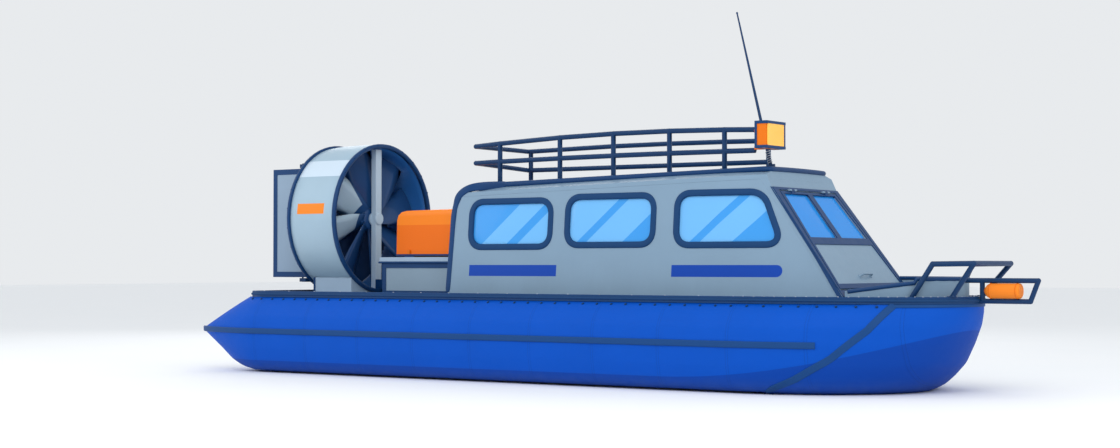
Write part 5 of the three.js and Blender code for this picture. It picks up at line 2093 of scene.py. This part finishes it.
@dataclass
class EngineBay:
    """The casing, the ledge, the hood and what shows of the engine under it."""

    aft: float = 2.74
    fore: float = 4.17
    half: float = 0.6
    top: float = 1.45
    edge: float = 0.062
    proud: float = 0.010
    hood_aft: float = 2.83
    hood_fore: float = 4.14
    hood_half: float = 0.43
    hood_bottom: float = 1.545
    casing_foot: float = 1.051
    aft_foot: float = 1.24
    bead_height: float = 1.462
    vent_ends: Pair = (1.68, 1.92)
    latches: Pair = (3.05, 3.92)
    # distance behind the pulley's face and radius, for a pulley of full size
    groove: tuple[Pair, ...] = (
        (0.0, 0.085), (0.008, 0.085), (0.014, 0.072), (0.022, 0.072), (0.028, 0.085), (0.036, 0.085),
    )
    # offset, depth below the block's top and size of each pulley
    pulleys: tuple[Triple, ...] = ((0.0, 0.45, 1.0), (0.14, 0.16, 0.6), (-0.14, 0.2, 0.7))

    def casing_frames(self) -> None:
        """Makes the navy frames on the casing's sides and aft end."""
        lifts, upper = (-0.001, self.proud), (self.top - self.edge, self.top)
        stations = bordered(self.aft, self.fore, self.edge)
        rows = [(z, stations) for z in (self.casing_foot, self.casing_foot + self.edge * 0.6, *upper)]
        for side, sign in SIDES.items():
            border = Piece(f"casing_frame_{side}", NAVY)
            border.frame(rows, lifts, lambda x, z, lift: at(x, sign * (self.half + lift), z))
            border.make(bevel=0.003)
        columns = bordered(-self.half, self.half, self.edge)
        rows = [(z, columns) for z in (self.aft_foot, self.aft_foot + self.edge * 0.5, *upper)]
        aft = Piece("casing_frame_aft", NAVY)
        aft.frame(rows, lifts, lambda y, z, lift: at(self.aft - lift, y, z)).make(bevel=0.003)

    def ledge_bead(self) -> None:
        """Makes the navy bead under the ledge."""
        x, y = self.aft - 0.042, self.half + 0.022
        corners = ((self.fore - 0.01, -y), (x, -y), (x, y), (self.fore - 0.01, y))
        path = [at(*corner, self.bead_height) for corner in corners]
        Piece("ledge_bead", NAVY).tube(path, 0.013, 10).make()

    def hood_fittings(self) -> None:
        """Makes the hood's latches, vents and hem."""
        skin = Skin("engine_hood")
        vents = Piece("hood_vents", NAVY, Body.HOOD)
        tilt = Matrix.Rotation(math.radians(25), 3, "Y")
        for z in spread(*self.vent_ends, 6):
            point, _ = skin.hit(at(self.hood_aft - 1, 0.0, z), AHEAD)
            vents.beside(point, Vector((0.010, 0.25, 0.012)), tilt)
        vents.make(bevel=0.003)
        latches = Piece("hood_latches", LAMP, Body.HOOD)
        for x in self.latches:
            centre = at(x, -(self.hood_half + 0.004), 1.60)
            latches.block(centre - Vector((0.022, 0.006, 0.030)), centre + Vector((0.022, 0.004, 0.030)))
        latches.make(bevel=0.003)
        hem = Piece("hood_hem", NAVY, Body.HOOD)
        rails = []
        for a, b in ((-1, -1), (1, -1), (1, 1), (-1, 1)):
            x = self.hood_aft if a < 0 else self.hood_fore
            y = -self.hood_half if b < 0 else self.hood_half - 0.018
            rails.append((at(x, y, self.hood_bottom + 0.002), Vector((a, b, 0)), UP))
        section = [(-0.003, 0.0), (0.005, 0.0), (0.005, 0.024), (-0.003, 0.024)]
        hem.sweep(rails, section, loop=True).make(bevel=0.001)

    def engine(self) -> None:
        """Makes the cover, pipes and pulleys on the engine block."""
        low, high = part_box("engine_block")
        cover = Piece("engine_cam_cover", NAVY)
        cover.block(Vector((low.x + 0.12, -0.13, high.z)), Vector((high.x - 0.12, 0.13, high.z + 0.075)))
        cover.make(bevel=0.02)
        pipes = Piece("engine_pipes", STEEL)
        for x in spread(low.x + 0.18, high.x - 0.18, 4):
            bend = ((-0.27, 0.09), (-0.31, 0.09), (-0.345, 0.15), (-0.345, 0.24))
            pipes.tube([Vector((x, y, high.z - drop)) for y, drop in bend], 0.024, 14)
        pipes.tube([Vector((x, -0.345, high.z - 0.26)) for x in (low.x + 0.1, high.x - 0.1)], 0.032, 16)
        pipes.make(smooth=50)
        pulleys = Piece("engine_pulleys", STEEL)
        for y, drop, size in self.pulleys:
            profile = [(a, r * size) for a, r in self.groove]
            pulleys.turned(Vector((low.x, y, high.z - drop)), -AHEAD, profile, 32)
        pulleys.make()

    def build(self) -> None:
        """Builds the engine bay."""
        paint(CASING, "engine_casing", bevel=0.004)
        paint(LEDGE, "engine_ledge", bevel=0.005)
        paint(NAVY, "shaft_tunnel", bevel=0.004)
        paint(HOOD, "engine_hood", bevel=0.006)
        paint(IRON, "engine_block", bevel=0.02)
        self.casing_frames()
        self.ledge_bead()
        self.hood_fittings()
        self.engine()


@dataclass
class CushionShape:
    """A box cushion's size and how it is filled."""

    length: float
    width: float
    height: float
    crown: float
    fill: float = 0.7
    voxel: float = 0.018
    cap: float = 0.02


@dataclass
class Interior:
    """The benches, the helm seat, the console and the wheel."""

    floor: float = 0.4203
    bench_low: float = 4.50
    bench_ends: dict[str, float] = field(default_factory=lambda: {"starboard": 7.35, "port": 8.15})
    wall: float = 0.687
    seat_base: float = 0.765
    seat_side: float = 0.438
    back_side: float = 0.592
    back_height: float = 1.135
    back_lean: float = 86.0
    # offset and height of a bench's outline, from its foot round to the top of its back
    bench_front: tuple[Pair, ...] = (
        (0.33, 0.4203), (0.302, 0.52), (0.302, 0.765), (0.60, 0.765), (0.645, 1.415),
    )
    bench_top: float = 1.415
    pad: CushionShape = field(default_factory=lambda: CushionShape(0.90, 0.345, 0.085, 0.020))
    back: CushionShape = field(default_factory=lambda: CushionShape(0.90, 0.50, 0.062, 0.016))
    helm: Triple = (8.42, -0.37, 1.255)
    helm_tilt: float = 65.0
    # offsets of the dials from the wheel's middle, and their height
    dials: tuple[float, ...] = (-0.18, -0.06, 0.06, 0.18)
    # low and high corner of the helm seat's foot, post and tray, as offsets from the seat's middle plane
    pedestal: tuple[tuple[Triple, Triple], ...] = (
        ((7.86, -0.17, 0.4203), (8.10, 0.17, 0.47)),
        ((7.93, -0.07, 0.465), (8.03, 0.07, 0.76)),
        ((7.80, -0.215, 0.755), (8.215, 0.215, 0.785)),
    )

    def cushion_mesh(self, name: str, shape: CushionShape) -> bpy.types.Mesh:
        """Makes one crowned cushion with piping grooves, lying flat round the origin.

        Args:
            name: The mesh's name.
            shape: Its size and filling.

        Returns:
            The finished mesh.
        """
        half = Vector((shape.length / 2, shape.width / 2, shape.height / 2))
        rows = []
        for turn in spread(-math.pi / 2, math.pi / 2, 9):
            level = math.sin(turn)
            inset = 0.018 * (1 - math.cos(turn) ** 0.35)
            outline = []
            for x, y in rounded([(-1, -1), (1, -1), (1, 1), (-1, 1)], 0.16, 5):
                waist = 1 - 0.012 * (1 - (x * y) ** 2)
                point = (x * (half.x - inset) * waist, y * (half.y - inset) * waist, level * half.z)
                outline.append(Vector(point))
            rows.append(outline)
        thing = add_object(name, Piece(name, CLOTH).skin(rows).mesh())
        remesh = thing.modifiers.new("voxels", "REMESH")
        remesh.mode = "VOXEL"
        remesh.voxel_size = shape.voxel
        self.apply(thing)
        self.inflate(thing, shape)
        for vertex in thing.data.vertices:
            x, y = vertex.co.x / half.x, vertex.co.y / half.y
            room = max(0.0, (1 - x * x) * (1 - y * y))
            if vertex.co.z > 0:
                vertex.co.z += shape.crown * room**0.6
                groove = min(abs(vertex.co.x - half.x * s) for s in (-0.34, 0.34))
                vertex.co.z -= 0.006 * math.exp(-((groove / 0.012) ** 2))
            else:
                vertex.co.z = max(vertex.co.z, -half.z)
        for polygon in thing.data.polygons:
            polygon.use_smooth = True
        done = thing.data
        bpy.data.objects.remove(thing)
        return done

    def apply(self, thing: bpy.types.Object) -> None:
        """Bakes an object's modifiers into its mesh.

        Args:
            thing: The object.
        """
        shaped = thing.evaluated_get(bpy.context.evaluated_depsgraph_get())
        mesh = bpy.data.meshes.new_from_object(shaped)
        thing.modifiers.clear()
        thing.data = mesh

    def inflate(self, thing: bpy.types.Object, shape: CushionShape) -> None:
        """Swells a cushion by simulating its cover as cloth.

        Args:
            thing: The cushion.
            shape: Its filling and the most that a point may move.
        """
        rest = [v.co.copy() for v in thing.data.vertices]
        cloth = thing.modifiers.new("cloth", "CLOTH")
        cloth.settings.use_pressure = True
        cloth.settings.uniform_pressure_force = 4.0 * shape.fill
        cloth.settings.effector_weights.gravity = 0.0
        scene = bpy.context.scene
        for step in range(1, 16):
            scene.frame_set(step)
        self.apply(thing)
        scene.frame_set(1)
        for vertex, start in zip(thing.data.vertices, rest):
            move = vertex.co - start
            if move.length > shape.cap:
                vertex.co = start + move.normalized() * shape.cap

    def place_cushion(
        self, name: str, mesh: bpy.types.Mesh, where: Matrix, fill: float
    ) -> bpy.types.Object:
        """Puts a copy of a cushion in its place.

        Args:
            name: The piece's name.
            mesh: The cushion's mesh.
            where: Its place.
            fill: How full it is; not used.

        Returns:
            The piece.
        """
        copy = mesh.copy()
        copy.transform(where)
        thing = add_object(name, copy)
        smoothing = thing.modifiers.new("divide", "SUBSURF")
        smoothing.levels = smoothing.render_levels = 1
        dress(thing, CLOTH, Body.HULL)
        return thing

    def benches(self, pad: bpy.types.Mesh, back: bpy.types.Mesh) -> None:
        """Makes both benches with their seat and back cushions.

        Args:
            pad: The seat cushion's mesh.
            back: The back cushion's mesh.
        """
        for side, sign in SIDES.items():
            end = self.bench_ends[side]
            count = int((end - self.bench_low) / (self.pad.length + 0.005))
            room = (end - self.bench_low) / count
            outline = [(self.wall, self.floor), *self.bench_front, (self.wall, self.bench_top)]
            base = Piece(f"bench_base_{side}", BENCH)
            ends = (self.bench_low + 0.004, end - 0.004)
            base.skin([[at(x, sign * y, z) for y, z in outline] for x in ends])
            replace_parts(base.make(bevel=0.008), f"bench_{side}")
            lean = Matrix.Rotation(sign * math.radians(self.back_lean), 4, "X")
            seat_height = self.seat_base + self.pad.height / 2
            for k in range(count):
                x = self.bench_low + room * (k + 0.5)
                seat = Matrix.Translation(at(x, sign * self.seat_side, seat_height))
                self.place_cushion(f"bench_seat_{side}_{k + 1}", pad, seat, self.pad.fill)
                upright = Matrix.Translation(at(x, sign * self.back_side, self.back_height)) @ lean
                self.place_cushion(f"bench_back_{side}_{k + 1}", back, upright, self.back.fill)

    def helm_seat(self, pad: bpy.types.Mesh) -> None:
        """Makes the helm seat's pedestal, pad and back.

        Args:
            pad: A cushion's mesh, which is cut down to the seat's size.
        """
        y = self.helm[1]
        base = Piece("helm_seat_pedestal", PLASTIC)
        for low, high in self.pedestal:
            base.block(at(low[0], y + low[1], low[2]), at(high[0], y + high[1], high[2]))
        tilt = Matrix.Rotation(math.radians(-7), 3, "Y")
        base.block(at(7.70, y - 0.19, 0.80), at(7.725, y + 0.19, 1.42), tilt)
        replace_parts(base.make(bevel=0.01), "helm_seat")
        lean = Matrix.Rotation(math.radians(-83), 4, "Y")
        for name, middle, turn, length, width in (
            ("pad", at(8.02, y, 0.828), Matrix.Identity(4), 0.41, 0.45),
            ("back", at(7.785, y, 1.17), lean, 0.56, 0.44),
        ):
            fit = Matrix.Diagonal((length / self.pad.length, width / self.pad.width, 1.0, 1.0))
            self.place_cushion(f"helm_seat_{name}", pad, Matrix.Translation(middle) @ turn @ fit, 0.7)

    def helm_station(self) -> None:
        """Makes the dials, the lever and the wheel's grip and cap."""
        paint(PLASTIC, "helm_console", bevel=0.012)
        paint(GRIP, "helm_wheel", bevel=0.0)
        x, y, z = self.helm
        tilt = math.radians(self.helm_tilt)
        axis = Vector((-math.sin(tilt), 0, math.cos(tilt)))
        cap = Piece("helm_wheel_cap", STEEL, Body.HELM)
        cap.turned(at(x, y, z), axis, [(0.010, 0.032), (0.017, 0.030), (0.021, 0.014)], 24).make()
        facing = Vector((-0.6, 0, 0.8)).normalized()
        face = [(-0.01, 0.046), (0.008, 0.046), (0.010, 0.040), (0.004, 0.038)]
        dials = Piece("helm_dials", STEEL)
        for side in self.dials:
            dials.turned(at(8.66, y + side, 1.255), facing, face, 28)
        dials.make()
        lever = Piece("helm_lever", GRIP)
        foot = at(8.70, y + 0.23, 1.28)
        head = foot + Vector((-0.03, 0, 0.10))
        lever.tube([foot, head], 0.008, 10)
        lever.turned(head, Vector((-0.3, 0, 1)), [(-0.01, 0.016), (0.02, 0.022), (0.035, 0.012)], 16)
        lever.make()

    def build(self) -> None:
        """Builds what shows through the glass."""
        pad = self.cushion_mesh("seat_pad_shape", self.pad)
        back = self.cushion_mesh("seat_back_shape", self.back)
        self.benches(pad, back)
        self.helm_seat(pad)
        self.helm_station()


def main() -> None:
    """Builds the scene piece by piece."""
    logging.basicConfig(level=logging.INFO, format="%(message)s")
    studio = Studio()
    studio.place_camera()
    assemblies = (Skirts, Deck, CabinShell, BowHatch, Foredeck, RoofGear, DuctedFan, EngineBay, Interior)
    for assembly in assemblies:
        assembly().build()
    studio.lay_floor()
    studio.light()


if __name__ == "__main__":
    main()
